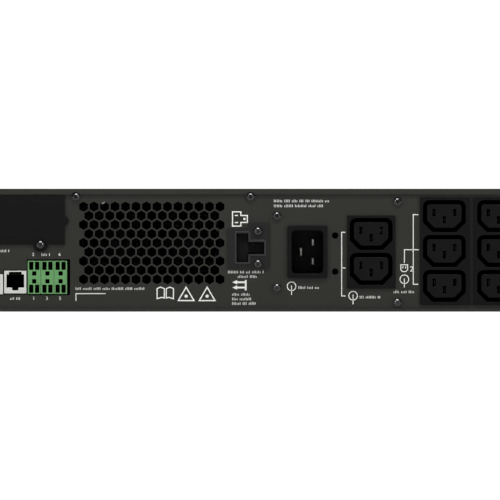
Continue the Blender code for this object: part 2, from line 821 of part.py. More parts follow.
def fan_rotor(side, origin, hub_face):
    """Hub, shaft and pitched blades, turning about Y."""
    x, back, z = origin
    hub_back, hub_front = back + 2, hub_face - 0.6
    profile = [
        (0, hub_back),
        (FAN_HUB - 1, hub_back),
        (FAN_HUB, hub_back + 1),
        (FAN_HUB, hub_front),
        (1.5, hub_front),
        (1.5, hub_face + 2.0),
        (0, hub_face + 2.0),
    ]
    centre = (x, (hub_back + hub_front) / 2, z)
    rotor = make(
        f"fan_rotor_{side}",
        filled((add_turned, profile, (x, 0, z), (0, 1, 0), 20)),
        "fan_plastic",
        centre,
    )
    blades = bmesh.new()
    chord, thickness, pitch = 11.5, 1.0, math.radians(38)
    for k in range(FAN_BLADES):
        turn = Matrix.Rotation(2 * math.pi * k / FAN_BLADES, 4, "Y")
        place = Matrix.Translation(centre) @ turn @ Matrix.Rotation(pitch, 4, "X")
        rows = []
        for radius, twist in ((FAN_HUB - 1.5, 0.0), (FAN_BORE - 1.3, -0.25)):
            section = [
                (-thickness / 2, -chord / 2),
                (thickness / 2, -chord / 2),
                (thickness / 2, chord / 2),
                (-thickness / 2, chord / 2),
            ]
            lean = Matrix.Rotation(twist, 2)
            points = (place @ Vector((radius, *(lean @ Vector(p)))) for p in section)
            rows.append([blades.verts.new(point) for point in points])
        inner, outer = rows
        blades.faces.new(inner)
        blades.faces.new(outer)
        for i in range(4):
            j = (i + 1) % 4
            blades.faces.new((inner[i], inner[j], outer[j], outer[i]))
    join(rotor, blades)


# ---------------------------------------------------------------- front


def louvres(low_x, high_x, low_z=LOUVRE_Z[0]):
    """Boxes that cut a column of horizontal slots through the bezel's front wall."""
    high_z = LOUVRE_Z[1]
    count = int((high_z - low_z - LOUVRE_HEIGHT) / LOUVRE_PITCH) + 1
    return [
        (
            add_box,
            (low_x, FRONT - 1, low_z + k * LOUVRE_PITCH),
            (high_x, FRONT + BEZEL_WALL + 1, low_z + k * LOUVRE_PITCH + LOUVRE_HEIGHT),
        )
        for k in range(count)
    ]


def bezel_shell(name, low_x, high_x):
    """A moulded front shell, open at its back."""
    back = FRONT + BEZEL_DEPTH
    shell = make(
        name,
        box_shape((low_x, FRONT, 0), (high_x, back, PANEL_HEIGHT)),
        "bezel_plastic",
    )
    wall = BEZEL_WALL
    cut(
        shell,
        box_shape(
            (low_x + wall, FRONT + wall, wall),
            (high_x - wall, back + 1, PANEL_HEIGHT - wall),
        ),
    )
    return shell


def drawer_fascia():
    """The battery drawer's front: louvres, a grip pocket and two bosses that meet the tray."""
    fascia = bezel_shell("drawer_fascia", DRAWER_LEFT, DRAWER_RIGHT)
    low_x, low_z, high_x, high_z = GRIP
    pocket_back = FRONT + GRIP_DEPTH
    wall = GRIP_WALL
    shapes = [
        (
            add_box,
            (low_x - wall, FRONT + 1, low_z - wall),
            (high_x + wall, pocket_back + wall, high_z + wall),
        )
    ]
    for x in (low_x - wall - 4.6, high_x + wall + 4.6):
        boss = circle((x, 60), 3.6, 10)
        shapes.append((add_prism, boss, along_y, FRONT + 1, CHASSIS_FRONT + 0.2))
    join(fascia, filled(*shapes))
    cut(
        fascia,
        box_shape((low_x, FRONT - 1, low_z), (high_x, pocket_back, high_z)),
    )
    beside_grip, above_grip = wall + 9, wall + 6
    slots = louvres(DRAWER_LEFT + LOUVRE_MARGIN, low_x - beside_grip)
    slots += louvres(high_x + beside_grip, DRAWER_RIGHT - LOUVRE_MARGIN)
    slots += louvres(low_x - wall, high_x + wall, high_z + above_grip)
    cut(fascia, filled(*slots))
    bearing = circle(PADDLE_AXIS, 1.8, 12)
    reach = wall - 0.7
    cut(
        fascia,
        filled((add_prism, bearing, along_x, low_x - reach, high_x + reach)),
    )


def release_paddle():
    """Lever in the grip: a pull on its lower edge frees the drawer."""
    low_x, _, high_x, _ = GRIP
    y, z = PADDLE_AXIS
    paddle = make(
        "release_paddle",
        box_shape((low_x + 1, y - 1.2, 18.0), (high_x - 1, y + 1.2, z + 2.5)),
        "bezel_plastic",
        ((low_x + high_x) / 2, y, z),
    )
    pin = circle((y, z), 1.5, 12)
    reach = GRIP_WALL - 1.2
    join(
        paddle,
        filled((add_prism, pin, along_x, low_x - reach, high_x + reach)),
    )


def battery_tray():
    """Open steel tray: the front wall is taller, because it closes the bay."""
    tray = make("battery_tray", box_shape(TRAY_LOW, TRAY_HIGH), "plated_steel")
    inside_low = [side + SHEET for side in TRAY_LOW]
    inside_high = (TRAY_HIGH[0] - SHEET, TRAY_HIGH[1] - SHEET, TRAY_HIGH[2] + 10)
    cut(tray, box_shape(inside_low, inside_high))
    join(
        tray,
        box_shape(
            TRAY_LOW, (TRAY_HIGH[0], TRAY_LOW[1] + SHEET, TRAY_FRONT_TOP)
        ),
    )


def battery_pack(name, low_y):
    """Three sealed batteries bonded side by side, with a terminal at each end of each one."""
    low_x = TRAY_LOW[0] + SHEET + 1.6
    low_z = TRAY_LOW[2] + SHEET + GAP
    low = (low_x, low_y, low_z)
    high = tuple(a + b for a, b in zip(low, PACK_SIZE))
    pack = make(name, box_shape(low, high), "battery_case")
    block = PACK_SIZE[0] / BLOCKS_IN_PACK
    grooves, terminals = [], []
    for k in range(BLOCKS_IN_PACK):
        start = low_x + block * k
        if k:
            grooves.append(
                (
                    add_box,
                    (start - 0.5, low_y - 1, high[2] - 3),
                    (start + 0.5, high[1] + 1, high[2] + 1),
                )
            )
        for end in (low_y + 9, high[1] - 16):
            terminals.append(
                (
                    add_box,
                    (start + 44, end, high[2] - 1),
                    (start + 52, end + 7, high[2] + 4),
                )
            )
    cut(pack, filled(*grooves))
    join(pack, filled(*terminals))


def blind_connectors():
    """The plug on the tray's back and the socket on the bay's wall that it meets."""
    x, z = (-22.0, 22.0), (24.0, 46.0)
    meet = 53.0
    make(
        "tray_connector",
        box_shape((x[0], TRAY_HIGH[1] + GAP, z[0]), (x[1], meet, z[1])),
        "connector_black",
    )
    make(
        "bay_connector",
        box_shape((x[0], meet + GAP, z[0]), (x[1], BAY_WALL_Y - GAP, z[1])),
        "connector_black",
    )


def front_bezel():
    """Fixed shell beside the drawer, with the round seat of the display between two columns of louvres."""
    bezel = bezel_shell("front_bezel", BEZEL_LEFT, SIDE)
    seat = circle((DISPLAY_X, DISPLAY_Z), DISPLAY_RADIUS + 0.5, 36)
    cut(
        bezel,
        filled((add_prism, seat, along_y, FRONT - 1, FRONT + BEZEL_WALL + 1)),
    )
    width, reach = 18.5, 57.15
    slots = louvres(DISPLAY_X - reach, DISPLAY_X - reach + width)
    slots += louvres(DISPLAY_X + reach - width, DISPLAY_X + reach)
    cut(bezel, filled(*slots))


def display():
    """A round unit that turns a quarter turn, so that it reads upright when the case stands on its side."""
    back_of_wall = FRONT + BEZEL_WALL + GAP
    radius, flange = DISPLAY_RADIUS, DISPLAY_RADIUS + 2.9
    centre = (DISPLAY_X, DISPLAY_FACE, DISPLAY_Z)
    inner_face = DISPLAY_FACE + 3.4
    profile = [
        (0, DISPLAY_FACE),
        (radius - 0.5, DISPLAY_FACE),
        (radius, DISPLAY_FACE + 0.5),
        (radius, back_of_wall),
        (flange, back_of_wall),
        (flange, back_of_wall + 2),
        (radius, back_of_wall + 2),
        (radius, DISPLAY_FACE + 23),
        (radius - 2, DISPLAY_FACE + 23),
        (radius - 2, inner_face),
        (0, inner_face),
    ]
    pod = make(
        "display_pod",
        filled((add_turned, profile, (DISPLAY_X, 0, DISPLAY_Z), (0, 1, 0), 36)),
        "bezel_plastic",
        centre,
    )
    window_centre = (DISPLAY_X, DISPLAY_Z + 6)
    pocket = rectangle(*around(window_centre, (41.0, 25.0)))
    pocket_floor = DISPLAY_FACE + 1.5
    cut(
        pod,
        filled((add_prism, pocket, along_y, DISPLAY_FACE - 1, pocket_floor)),
    )
    glass = rectangle(*around(window_centre, (40.4, 24.4)))
    make(
        "display_window",
        filled((add_prism, glass, along_y, DISPLAY_FACE + 0.2, pocket_floor - GAP)),
        "display_glass",
    )
    holes = []
    for k, name in enumerate(BUTTON_NAMES):
        x = DISPLAY_X + (k - (len(BUTTON_NAMES) - 1) / 2) * BUTTON_SPACING
        place = (x, DISPLAY_Z - BUTTON_DROP)
        key = around(place, BUTTON_SIZE)
        holes.append(rectangle(*grown(key, GAP)))
        button = make(
            name,
            filled((add_prism, rectangle(*key), along_y, FRONT, inner_face + 1.0)),
            "button_rubber",
            (x, FRONT, place[1]),
        )
        skirt = rectangle(*grown(key, 0.8))
        join(button, filled((add_prism, skirt, along_y, inner_face + GAP, inner_face + 1.8)))
    depth = (DISPLAY_FACE - 1, inner_face + 1)
    cut(pod, filled(*((add_prism, hole, along_y, *depth) for hole in holes)))


# ---------------------------------------------------------------- electronics


def boards():
    """Circuit boards: power, control, signal ports and outlets."""
    plates = {
        "power_board": ((-210, 66, 8.0), (205, 236, 9.6)),
        "control_board": ((115, 75, 16.0), (205, 150, 17.6)),
        "comm_board": ((SIDE - 99, REAR - 55, 8.7), (SIDE - 37.5, REAR - 3.2, 10.3)),
        "outlet_board": ((SIDE - 432, REAR - 28.2, 6), (SIDE - 284, REAR - 26.6, 78)),
    }
    for name, (low, high) in plates.items():
        make(name, box_shape(low, high), "circuit_board")


def heatsink(name, low_x, fins):
    """Extruded comb of fins on a base that stands on the power board."""
    base, top, foot = 16.0, 72.0, COMPONENT_FOOT
    pitch, fin = 10.0, 2.0
    width = (fins - 1) * pitch + fin
    section = [(low_x, foot), (low_x + width, foot)]
    for k in reversed(range(fins)):
        left = low_x + k * pitch
        section += [(left + fin, top), (left, top)]
        if k:
            section += [(left, base), (left - pitch + fin, base)]
    make(name, filled((add_prism, section, along_y, *HEATSINK_Y)), "heatsink_metal")


def capacitors():
    """Two reservoir capacitors standing on the power board."""
    radius, foot, top = CAPACITOR_RADIUS, COMPONENT_FOOT, 62.0
    profile = [
        (0, foot),
        (radius, foot),
        (radius, top - 1.5),
        (radius - 1.5, top),
        (0, top),
    ]
    for name, y in CAPACITORS.items():
        shape = filled((add_turned, profile, (CAPACITOR_X, y, 0), (0, 0, 1), 20))
        make(name, shape, "battery_case")


def output_inductor():
    """Toroid choke lying on the power board."""
    ring, tube, height = 22.0, 10.5, 21.0
    profile = [
        (ring + tube * math.cos(t), height + tube * math.sin(t))
        for t in (2 * math.pi * k / 10 for k in range(11))
    ]
    shape = filled((add_turned, profile, (*INDUCTOR_CENTRE, 0), (0, 0, 1), 20))
    make("output_inductor", shape, "winding")


def build():
    for obj in list(bpy.data.objects):
        bpy.data.objects.remove(obj, do_unlink=True)
    chassis_base()
    top_cover()
    rear_panel()
    ac_panel()
    front_frame()
    battery_bay_wall()
    rack_ears()
    slot_cover()
    slot_guide()
    usb_port()
    modular_jack()
    relay_terminals()
    battery_socket()
    inlet()
    for name, (box, middle, count) in OUTLET_MODULES.items():
        outlet_module(name, box, middle, count)
    for name, box in HEAVY_OUTLETS.items():
        heavy_outlet(name, box)
    for name, place in {**COVER_SCREWS, **AC_SCREWS}.items():
        screw(name, place, REAR)
    for name, place in {**SOCKET_SCREWS, **SLOT_SCREWS}.items():
        screw(name, place, SKIN)
    for side in FAN_U:
        fan(side)
    drawer_fascia()
    release_paddle()
    battery_tray()
    first_pack = TRAY_LOW[1] + SHEET + 0.5
    battery_pack("battery_pack_front", first_pack)
    battery_pack("battery_pack_rear", first_pack + PACK_SIZE[1] + 0.5)
    blind_connectors()
    front_bezel()
    display()
    boards()
    for name, (low_x, fins) in HEATSINKS.items():
        heatsink(name, low_x, fins)
    capacitors()
    output_inductor()


build()
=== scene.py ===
"""Looks of the rack-mount uninterruptible power supply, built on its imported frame.

Pieces are drawn in millimetres on a plane and then placed. On the rear plane, u runs to the right from the
case's left edge as seen from behind, and v runs up from the underside. On the front and side planes and from
above, the numbers are the frame's own coordinates.
"""

import json
import math
import random

import bmesh
import bpy
from mathutils import Matrix, Vector

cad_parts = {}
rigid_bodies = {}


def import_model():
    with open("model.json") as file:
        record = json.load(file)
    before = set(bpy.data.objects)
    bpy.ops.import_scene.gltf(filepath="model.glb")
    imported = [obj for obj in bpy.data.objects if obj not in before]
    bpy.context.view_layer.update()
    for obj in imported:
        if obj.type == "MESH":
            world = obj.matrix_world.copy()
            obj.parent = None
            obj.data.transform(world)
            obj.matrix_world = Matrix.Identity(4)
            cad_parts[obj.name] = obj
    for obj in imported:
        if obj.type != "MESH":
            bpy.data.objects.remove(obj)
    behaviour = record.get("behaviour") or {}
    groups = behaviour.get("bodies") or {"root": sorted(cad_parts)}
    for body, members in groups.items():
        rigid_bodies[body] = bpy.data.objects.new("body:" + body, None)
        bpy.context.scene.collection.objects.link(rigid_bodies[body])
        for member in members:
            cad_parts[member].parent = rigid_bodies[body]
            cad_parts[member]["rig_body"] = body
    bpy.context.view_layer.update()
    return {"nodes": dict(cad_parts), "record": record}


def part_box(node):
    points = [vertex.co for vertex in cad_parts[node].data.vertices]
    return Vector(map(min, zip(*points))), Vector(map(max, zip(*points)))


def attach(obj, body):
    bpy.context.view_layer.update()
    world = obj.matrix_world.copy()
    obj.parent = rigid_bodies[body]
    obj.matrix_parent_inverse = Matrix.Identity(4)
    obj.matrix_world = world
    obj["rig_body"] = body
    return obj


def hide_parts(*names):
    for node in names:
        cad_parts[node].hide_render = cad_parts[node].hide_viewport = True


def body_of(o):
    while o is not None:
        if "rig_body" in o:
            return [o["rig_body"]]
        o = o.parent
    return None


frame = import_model()
SLOTS = {entry["node"]: entry["material_slot"] for entry in frame["record"]["subparts"]}

MM = 0.001
CASE_LOW, CASE_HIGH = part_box("chassis_base")
CASE_HALF_WIDTH = CASE_HIGH.x / MM
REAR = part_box("rear_panel")[1].y / MM
SKIN = CASE_HIGH.y / MM

# How far a piece that stands in for a CAD node stays inside the node's box
INSET = 0.02

# Planes that pieces are drawn on: the columns are where the drawing's right, up and out point
REAR_PLANE = Matrix(((-1, 0, 0, CASE_HALF_WIDTH), (0, 0, 1, 0), (0, 1, 0, 0), (0, 0, 0, 1)))
FRONT_PLANE = Matrix(((1, 0, 0, 0), (0, 0, -1, 0), (0, 1, 0, 0), (0, 0, 0, 1)))
SIDE_PLANE = Matrix(((0, 0, 1, 0), (1, 0, 0, 0), (0, 1, 0, 0), (0, 0, 0, 1)))
TOP_PLANE = Matrix.Identity(4)


# ---- outlines, as lists of (a, b)


def rectangle(low_a, low_b, high_a, high_b):
    return [(low_a, low_b), (high_a, low_b), (high_a, high_b), (low_a, high_b)]


def around(centre, size):
    (a, b), (width, height) = centre, size
    return (a - width / 2, b - height / 2, a + width / 2, b + height / 2)


def block(centre, size):
    return rectangle(*around(centre, size))


def grown(box, by):
    return (box[0] - by, box[1] - by, box[2] + by, box[3] + by)


def middle(box):
    return ((box[0] + box[2]) / 2, (box[1] + box[3]) / 2)


def moved(points, place):
    return [(place[0] + a, place[1] + b) for a, b in points]


def rounded(corners, radii, steps=6):
    """The outline through corners, each turned into an arc of its own radius."""
    points = []
    for i, corner in enumerate(corners):
        if radii[i] == 0:
            points.append(corner)
            continue
        here = Vector(corner)
        before = (Vector(corners[i - 1]) - here).normalized()
        after = (Vector(corners[(i + 1) % len(corners)]) - here).normalized()
        half = before.angle(after) / 2
        centre = here + (before + after).normalized() * radii[i] / math.sin(half)
        start = here + before * radii[i] / math.tan(half) - centre
        turn = math.copysign(math.pi - 2 * half, -before.cross(after))
        points += [tuple(centre + Matrix.Rotation(turn * k / steps, 2) @ start) for k in range(steps + 1)]
    return points


def soft_box(box, radius, steps=6):
    return rounded(rectangle(*box), (radius,) * 4, steps)


def soft(centre, size, radius, steps=6):
    return soft_box(around(centre, size), radius, steps)


def polar(radius, turn):
    return (radius * math.cos(turn), radius * math.sin(turn))


def arc(centre, radius, first, last, steps=12):
    turns = (math.radians(first + (last - first) * k / steps) for k in range(steps + 1))
    return moved([polar(radius, turn) for turn in turns], centre)


def circle(centre, radius, sides=32):
    return arc(centre, radius, 0, 360, sides)[:-1]


def ring(centre, outer, inner, sides=32):
    return [circle(centre, outer, sides), circle(centre, inner, sides)]


def keyed(centre, size, corner, chamfer):
    """An appliance outlet's outline: upper corners round, lower ones cut at 45 degrees and eased."""
    low_a, low_b, high_a, high_b = around(centre, size)
    corners = [(low_a, low_b + chamfer), (low_a + chamfer, low_b), (high_a - chamfer, low_b)]
    corners += [(high_a, low_b + chamfer), (high_a, high_b), (low_a, high_b)]
    return rounded(corners, (1.2, 1.2, 1.2, 1.2, corner, corner), 4)


def ribbon(points, width):
    """The outline of a line of this width through points, with mitred corners."""
    sides = ([], [])
    for i, point in enumerate(points):
        here = Vector(point)
        before = (here - Vector(points[max(i - 1, 0)])).normalized()
        after = (Vector(points[min(i + 1, len(points) - 1)]) - here).normalized()
        along = (before + after).normalized()
        across = Vector((-along.y, along.x))
        reach = width / 2 / max(0.3, along.dot(after if after.length else before))
        sides[0].append(tuple(here + across * reach))
        sides[1].append(tuple(here - across * reach))
    return sides[0] + sides[1][::-1]


def spokes(centre, near, far, width, turns):
    """Straight bars from one radius to another, one at each angle."""
    return [ribbon(moved([polar(near, turn), polar(far, turn)], centre), width) for turn in turns]


def inside(outline, width):
    """The outline this far inside another one, which runs anticlockwise."""
    corners = [Vector(p) for p in outline]
    inner = []
    for i, here in enumerate(corners):
        before = (here - corners[i - 1]).normalized()
        after = (corners[(i + 1) % len(corners)] - here).normalized()
        normal = Vector((-before.y - after.y, before.x + after.x)).normalized()
        reach = width / max(0.25, normal.dot(Vector((-after.y, after.x))))
        inner.append(tuple(here + normal * reach))
    return inner


# ---- meshes, in millimetres


def mesh_of(data, place=Matrix()):
    """The mesh that a curve or a text makes, moved by a matrix. The curve is used up."""
    holder = bpy.data.objects.new("drawn", data)
    bpy.context.scene.collection.objects.link(holder)
    graph = bpy.context.evaluated_depsgraph_get()
    mesh = bpy.data.meshes.new_from_object(holder.evaluated_get(graph))
    bpy.data.objects.remove(holder)
    bpy.data.curves.remove(data)
    mesh.materials.clear()
    mesh.transform(place)
    return mesh


def trace(curve, paths, closed):
    for path in paths:
        spline = curve.splines.new("POLY")
        spline.points.add(len(path) - 1)
        for point, place in zip(spline.points, path):
            point.co = (*place, *(0, 1)[len(place) - 2 :])
        spline.use_cyclic_u = closed


def plate(outlines, low, high, edge=0.0, steps=2):
    """A sheet from low to high. An outline inside another is a hole, and every edge is rounded by edge."""
    curve = bpy.data.curves.new("plate", "CURVE")
    curve.dimensions = "2D"
    curve.fill_mode = "BOTH"
    curve.extrude = (high - low) / 2 - edge
    curve.bevel_depth = edge
    curve.bevel_resolution = steps
    curve.offset = -edge
    trace(curve, outlines, True)
    return mesh_of(curve, Matrix.Translation((0, 0, (low + high) / 2)))


def plates(finish, *sheets):
    """Parts of one finish, each given as what plate takes."""
    return [(plate(*sheet), finish) for sheet in sheets]


def wire(paths, radius, closed=False):
    """Round wires through lists of (a, b, h)."""
    curve = bpy.data.curves.new("wire", "CURVE")
    curve.dimensions = "3D"
    curve.bevel_depth = radius
    curve.bevel_resolution = 2
    curve.use_fill_caps = True
    trace(curve, paths, closed)
    return mesh_of(curve)


def numerals(text, centre, height, low, high):
    """Digits of this height, centred on a point of the plane."""
    curve = bpy.data.curves.new("numerals", "FONT")
    curve.body = text
    curve.size = height / 0.7
    curve.align_x = "CENTER"
    curve.align_y = "CENTER"
    curve.extrude = (high - low) / 2
    curve.resolution_u = 3
    return mesh_of(curve, Matrix.Translation((*centre, (low + high) / 2)))


def closed_mesh(bm):
    """Welds a bmesh, turns its faces outwards and makes it a mesh."""
    bmesh.ops.remove_doubles(bm, verts=bm.verts, dist=0.0005)
    bmesh.ops.recalc_face_normals(bm, faces=bm.faces)
    mesh = bpy.data.meshes.new("closed")
    bm.to_mesh(mesh)
    bm.free()
    return mesh


def turned(profile, centre=(0, 0), steps=40):
    """Spins a profile of (radius, height) about the line through centre that points out of the plane."""
    bm = bmesh.new()
    verts = [bm.verts.new((centre[0] + r, centre[1], h)) for r, h in profile]
    geometry = verts + [bm.edges.new(pair) for pair in zip(verts, verts[1:])]
    turn = {"cent": (*centre, 0), "axis": (0, 0, 1), "angle": 2 * math.pi, "steps": steps}
    bmesh.ops.spin(bm, geom=geometry, use_merge=True, **turn)
    return closed_mesh(bm)


def lofted(sections):
    """The closed skin over a list of sections, each a loop of the same number of (x, y, z)."""
    bm = bmesh.new()
    loops = [[bm.verts.new(point) for point in section] for section in sections]
    for near, far in zip(loops, loops[1:]):
        for i in range(len(near)):
            bm.faces.new((near[i - 1], near[i], far[i], far[i - 1]))
    bm.faces.new(loops[0])
    bm.faces.new(loops[-1])
    return closed_mesh(bm)


def laid(parts, place):
    """Parts moved by a matrix, for a piece whose parts lie on several planes."""
    for mesh, _ in parts:
        mesh.transform(place)
    return parts


def piece(name, parts, plane=REAR_PLANE, body="case", slot=None, replaces=(), smooth=40):
    """One object from (mesh, material) parts drawn on a plane. It rides on a body."""
    bm = bmesh.new()
    materials = []
    for mesh, material in parts:
        if material not in materials:
            materials.append(material)
        start = len(bm.faces)
        bm.from_mesh(mesh)
        bm.faces.ensure_lookup_table()
        for face in bm.faces[start:]:
            face.material_index = materials.index(material)
        bpy.data.meshes.remove(mesh)
    bmesh.ops.remove_doubles(bm, verts=bm.verts, dist=0.0005)
    bmesh.ops.transform(bm, matrix=Matrix.Scale(MM, 4) @ plane, verts=bm.verts)
    mesh = bpy.data.meshes.new(name)
    bm.to_mesh(mesh)
    bm.free()
    for material in materials:
        mesh.materials.append(material)
    mesh.shade_smooth()
    mesh.set_sharp_from_angle(angle=math.radians(smooth))
    obj = bpy.data.objects.new(name, mesh)
    bpy.context.scene.collection.objects.link(obj)
    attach(obj, body)
    if replaces:
        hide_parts(*replaces)


def stand_in(name, ending, parts, plane=REAR_PLANE, smooth=40):
    """A piece in place of a CAD node: on the same body and named after it."""
    body = body_of(frame["nodes"][name])[0]
    piece(f"{name}_{ending}", parts, plane, body, SLOTS[name], [name], smooth)


def on_plane(name, plane=REAR_PLANE):
    """A CAD node's box on a plane, (low a, low b, high a, high b), and the heights of its back and face."""
    ends = [plane.inverted() @ (corner / MM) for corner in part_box(name)]
    low, high = (Vector(map(pick, *ends)) for pick in (min, max))
    return (*low.xy, *high.xy), low.z, high.z


def centre_of(name, plane=REAR_PLANE):
    return middle(on_plane(name, plane)[0])


# ---- materials


def node(tree, kind, inputs, **settings):
    """A shader node. An input is a value, or the socket that feeds it."""
    made = tree.nodes.new(f"ShaderNode{kind}")
    for key, value in settings.items():
        setattr(made, key, value)
    for key, value in inputs.items():
        if isinstance(value, bpy.types.NodeSocket):
            tree.links.new(value, made.inputs[key])
        else:
            made.inputs[key].default_value = value
    return made


def mixed(tree, factor, first, second):
    """The colour between two colours or sockets, which go to the mix node's inputs 6 and 7."""
    inputs = {0: factor, 6: first, 7: second}
    return node(tree, "Mix", inputs, data_type="RGBA").outputs[2]


def shade(colour, by):
    return (*(min(1.0, channel * by) for channel in colour), 1)


def shaded(tree, colour, by):
    """A colour socket made lighter or darker."""
    return node(tree, "VectorMath", {0: colour, "Scale": by}, operation="SCALE").outputs[0]


def surface(name, colour, roughness, metallic=0.0, mottle=0.15, grain=0.35, depth=0.006, edge=0.25, edge_wear_and_highlight=1.0,
            stretch=(1, 1, 1), coat=0.0, specular=0.35):
    """A finish whose colour and gloss wander, with a grain, soft edges, and edges lighter as wear and as a
    painted edge highlight.

    grain is the width of the grain's bumps, depth their height and edge the radius at edges, in millimetres.
    edge_wear_and_highlight is how many times lighter the colour is on edges, as wear and as a painted edge
    highlight.
    """
    made = bpy.data.materials.new(name)
    made.use_nodes = True
    tree = made.node_tree
    shader = tree.nodes["Principled BSDF"]
    for key, value in (("Metallic", metallic), ("Coat Weight", coat), ("Specular IOR Level", specular)):
        shader.inputs[key].default_value = value
    place = node(tree, "TexCoord", {}).outputs["Object"]
    place = node(tree, "Mapping", {"Vector": place, "Scale": stretch}).outputs["Vector"]
    patches = node(tree, "TexNoise", {"Vector": place, "Scale": 30.0, "Detail": 5.0}).outputs[0]
    grains = node(tree, "TexNoise", {"Vector": place, "Scale": 1 / (grain * MM), "Detail": 2.0}).outputs[0]
    base = mixed(tree, patches, shade(colour, 1 - mottle), shade(colour, 1 + mottle))
    base = mixed(tree, grains, shaded(tree, base, 0.9), shaded(tree, base, 1.1))
    soft_normal = node(tree, "Bevel", {"Radius": edge * MM}, samples=4).outputs[0]
    # Edges made lighter: partly wear, partly a painted highlight where light would catch them.
    if edge_wear_and_highlight > 1:
        facing = node(tree, "NewGeometry", {}).outputs["Normal"]
        inputs = {0: soft_normal, 1: facing}
        dot = node(tree, "VectorMath", inputs, operation="DOT_PRODUCT").outputs["Value"]
        turn = node(tree, "MapRange", {0: dot, 1: 0.72, 2: 0.99, 3: 1.0, 4: 0.0}).outputs[0]
        edge_wear_and_highlight_mask = node(tree, "Math", {0: turn, 1: patches}, operation="MULTIPLY").outputs[0]
        base = mixed(tree, edge_wear_and_highlight_mask, base, shade(colour, edge_wear_and_highlight))
    tree.links.new(base, shader.inputs["Base Color"])
    gloss = {0: patches, 1: 0.3, 2: 0.7, 3: roughness * 0.94, 4: min(1.0, roughness * 1.06)}
    tree.links.new(node(tree, "MapRange", gloss).outputs[0], shader.inputs["Roughness"])
    bump = {"Height": grains, "Distance": depth * MM, "Strength": 1.0, "Normal": soft_normal}
    tree.links.new(node(tree, "Bump", bump).outputs[0], shader.inputs["Normal"])
    return made


CHARCOAL = surface(
    "charcoal_powder_coat", (0.0143, 0.0147, 0.0114), 0.5, mottle=0.06, depth=0.02, edge=0.15, edge_wear_and_highlight=3
)
COVER = surface("satin_black_sheet", (0.0026, 0.0026, 0.0026), 0.6, mottle=0.08, edge_wear_and_highlight=4, specular=0.12)
BLACK = surface("black_moulding", (0.0031, 0.0031, 0.0032), 0.5, grain=0.25, edge_wear_and_highlight=4, specular=0.12)
FLANGE = surface("grey_black_moulding", (0.0105, 0.0105, 0.0105), 0.5, grain=0.25, edge_wear_and_highlight=2.5, specular=0.2)
STRIP = surface("strip_moulding", (0.0055, 0.0055, 0.0055), 0.5, grain=0.25, edge_wear_and_highlight=3, specular=0.15)
RIM = surface("dark_grey_moulding", (0.018, 0.018, 0.018), 0.42, grain=0.25, edge_wear_and_highlight=2.2)
# Near-black with no gloss: painted shade, put on walls and hollows deep in sockets and behind the vent.
PAINTED_SHADE = surface("shaded_moulding", (0.0006, 0.0006, 0.0006), 0.8, grain=0.3, specular=0.0)
GREY = surface("light_grey_moulding", (0.53, 0.53, 0.51), 0.4, mottle=0.05, grain=0.2, depth=0.003, edge_wear_and_highlight=1.3)
GREEN = surface("green_moulding", (0.112, 0.285, 0.106), 0.4, mottle=0.12, grain=0.2, depth=0.003, edge_wear_and_highlight=1.9)
BEZEL = surface("bezel_moulding", (0.011, 0.011, 0.012), 0.45, grain=0.3, depth=0.012, edge=0.4, edge_wear_and_highlight=2.5)
FOAM = surface("filter_foam", (0.004, 0.004, 0.004), 0.9, mottle=0.4, grain=0.9, depth=0.5, specular=0.05)
# Black fan plastic, made darker than the other black mouldings as painted shade, since the fans sit behind
# the vent.
FAN_BLACK_AND_PAINTED_SHADE = surface("fan_moulding_and_painted_shade", (0.0009, 0.0009, 0.0009), 0.6, grain=0.4, depth=0.004, specular=0.03)
RUBBER = surface("key_rubber", (0.02, 0.02, 0.022), 0.65, grain=0.12, depth=0.004)
LENS = surface("display_lens", (0.006, 0.008, 0.011), 0.1, mottle=0.05, grain=2.0, depth=0.001, coat=0.6)
SCREW = surface("black_zinc", (0.07, 0.07, 0.072), 0.15, metallic=1, grain=0.3, depth=0.0005, edge=0.06)
ZINC = surface(
    "zinc_sheet", (0.42, 0.42, 0.4), 0.34, metallic=1, grain=1.2, depth=0.004, stretch=(1, 0.15, 1)
)
NICKEL = surface("nickel_contact", (0.16, 0.157, 0.148), 0.4, metallic=1, mottle=0.1, grain=0.2, depth=0.002)
PIN = surface("nickel_blade", (0.26, 0.255, 0.24), 0.4, metallic=1, mottle=0.1, grain=0.2, depth=0.002)
# Gilt made far darker than gold: painted shade, since these contacts sit deep in sockets.
GILT_AND_PAINTED_SHADE = surface("gilt_contact_and_painted_shade", (0.05, 0.036, 0.014), 0.5, metallic=1, mottle=0.1, grain=0.1, depth=0.001)
PRINT = surface("pale_print", (0.74, 0.74, 0.72), 0.6, mottle=0.18, grain=0.15, depth=0.002, edge=0.05)
BLADE = surface(
    "dark_anodised_extrusion", (0.02, 0.02, 0.022), 0.4, metallic=0.6, grain=0.6, stretch=(1, 0.05, 1)
)
COPPER = surface("enamelled_wire", (0.42, 0.16, 0.05), 0.3, metallic=0.8, grain=1.2, depth=0.05, coat=0.5)
CASE = surface("battery_moulding", (0.03, 0.03, 0.034), 0.5, grain=0.5, depth=0.015, edge=0.8, edge_wear_and_highlight=2.5)
SLEEVE = surface("capacitor_sleeve", (0.02, 0.022, 0.04), 0.3, grain=0.8, depth=0.004, coat=0.3)
BOARD = surface("solder_resist", (0.014, 0.09, 0.035), 0.35, mottle=0.3, grain=0.9, depth=0.02, coat=0.3)
RED = surface("red_collar", (0.3, 0.02, 0.015), 0.45, grain=0.2, depth=0.003)

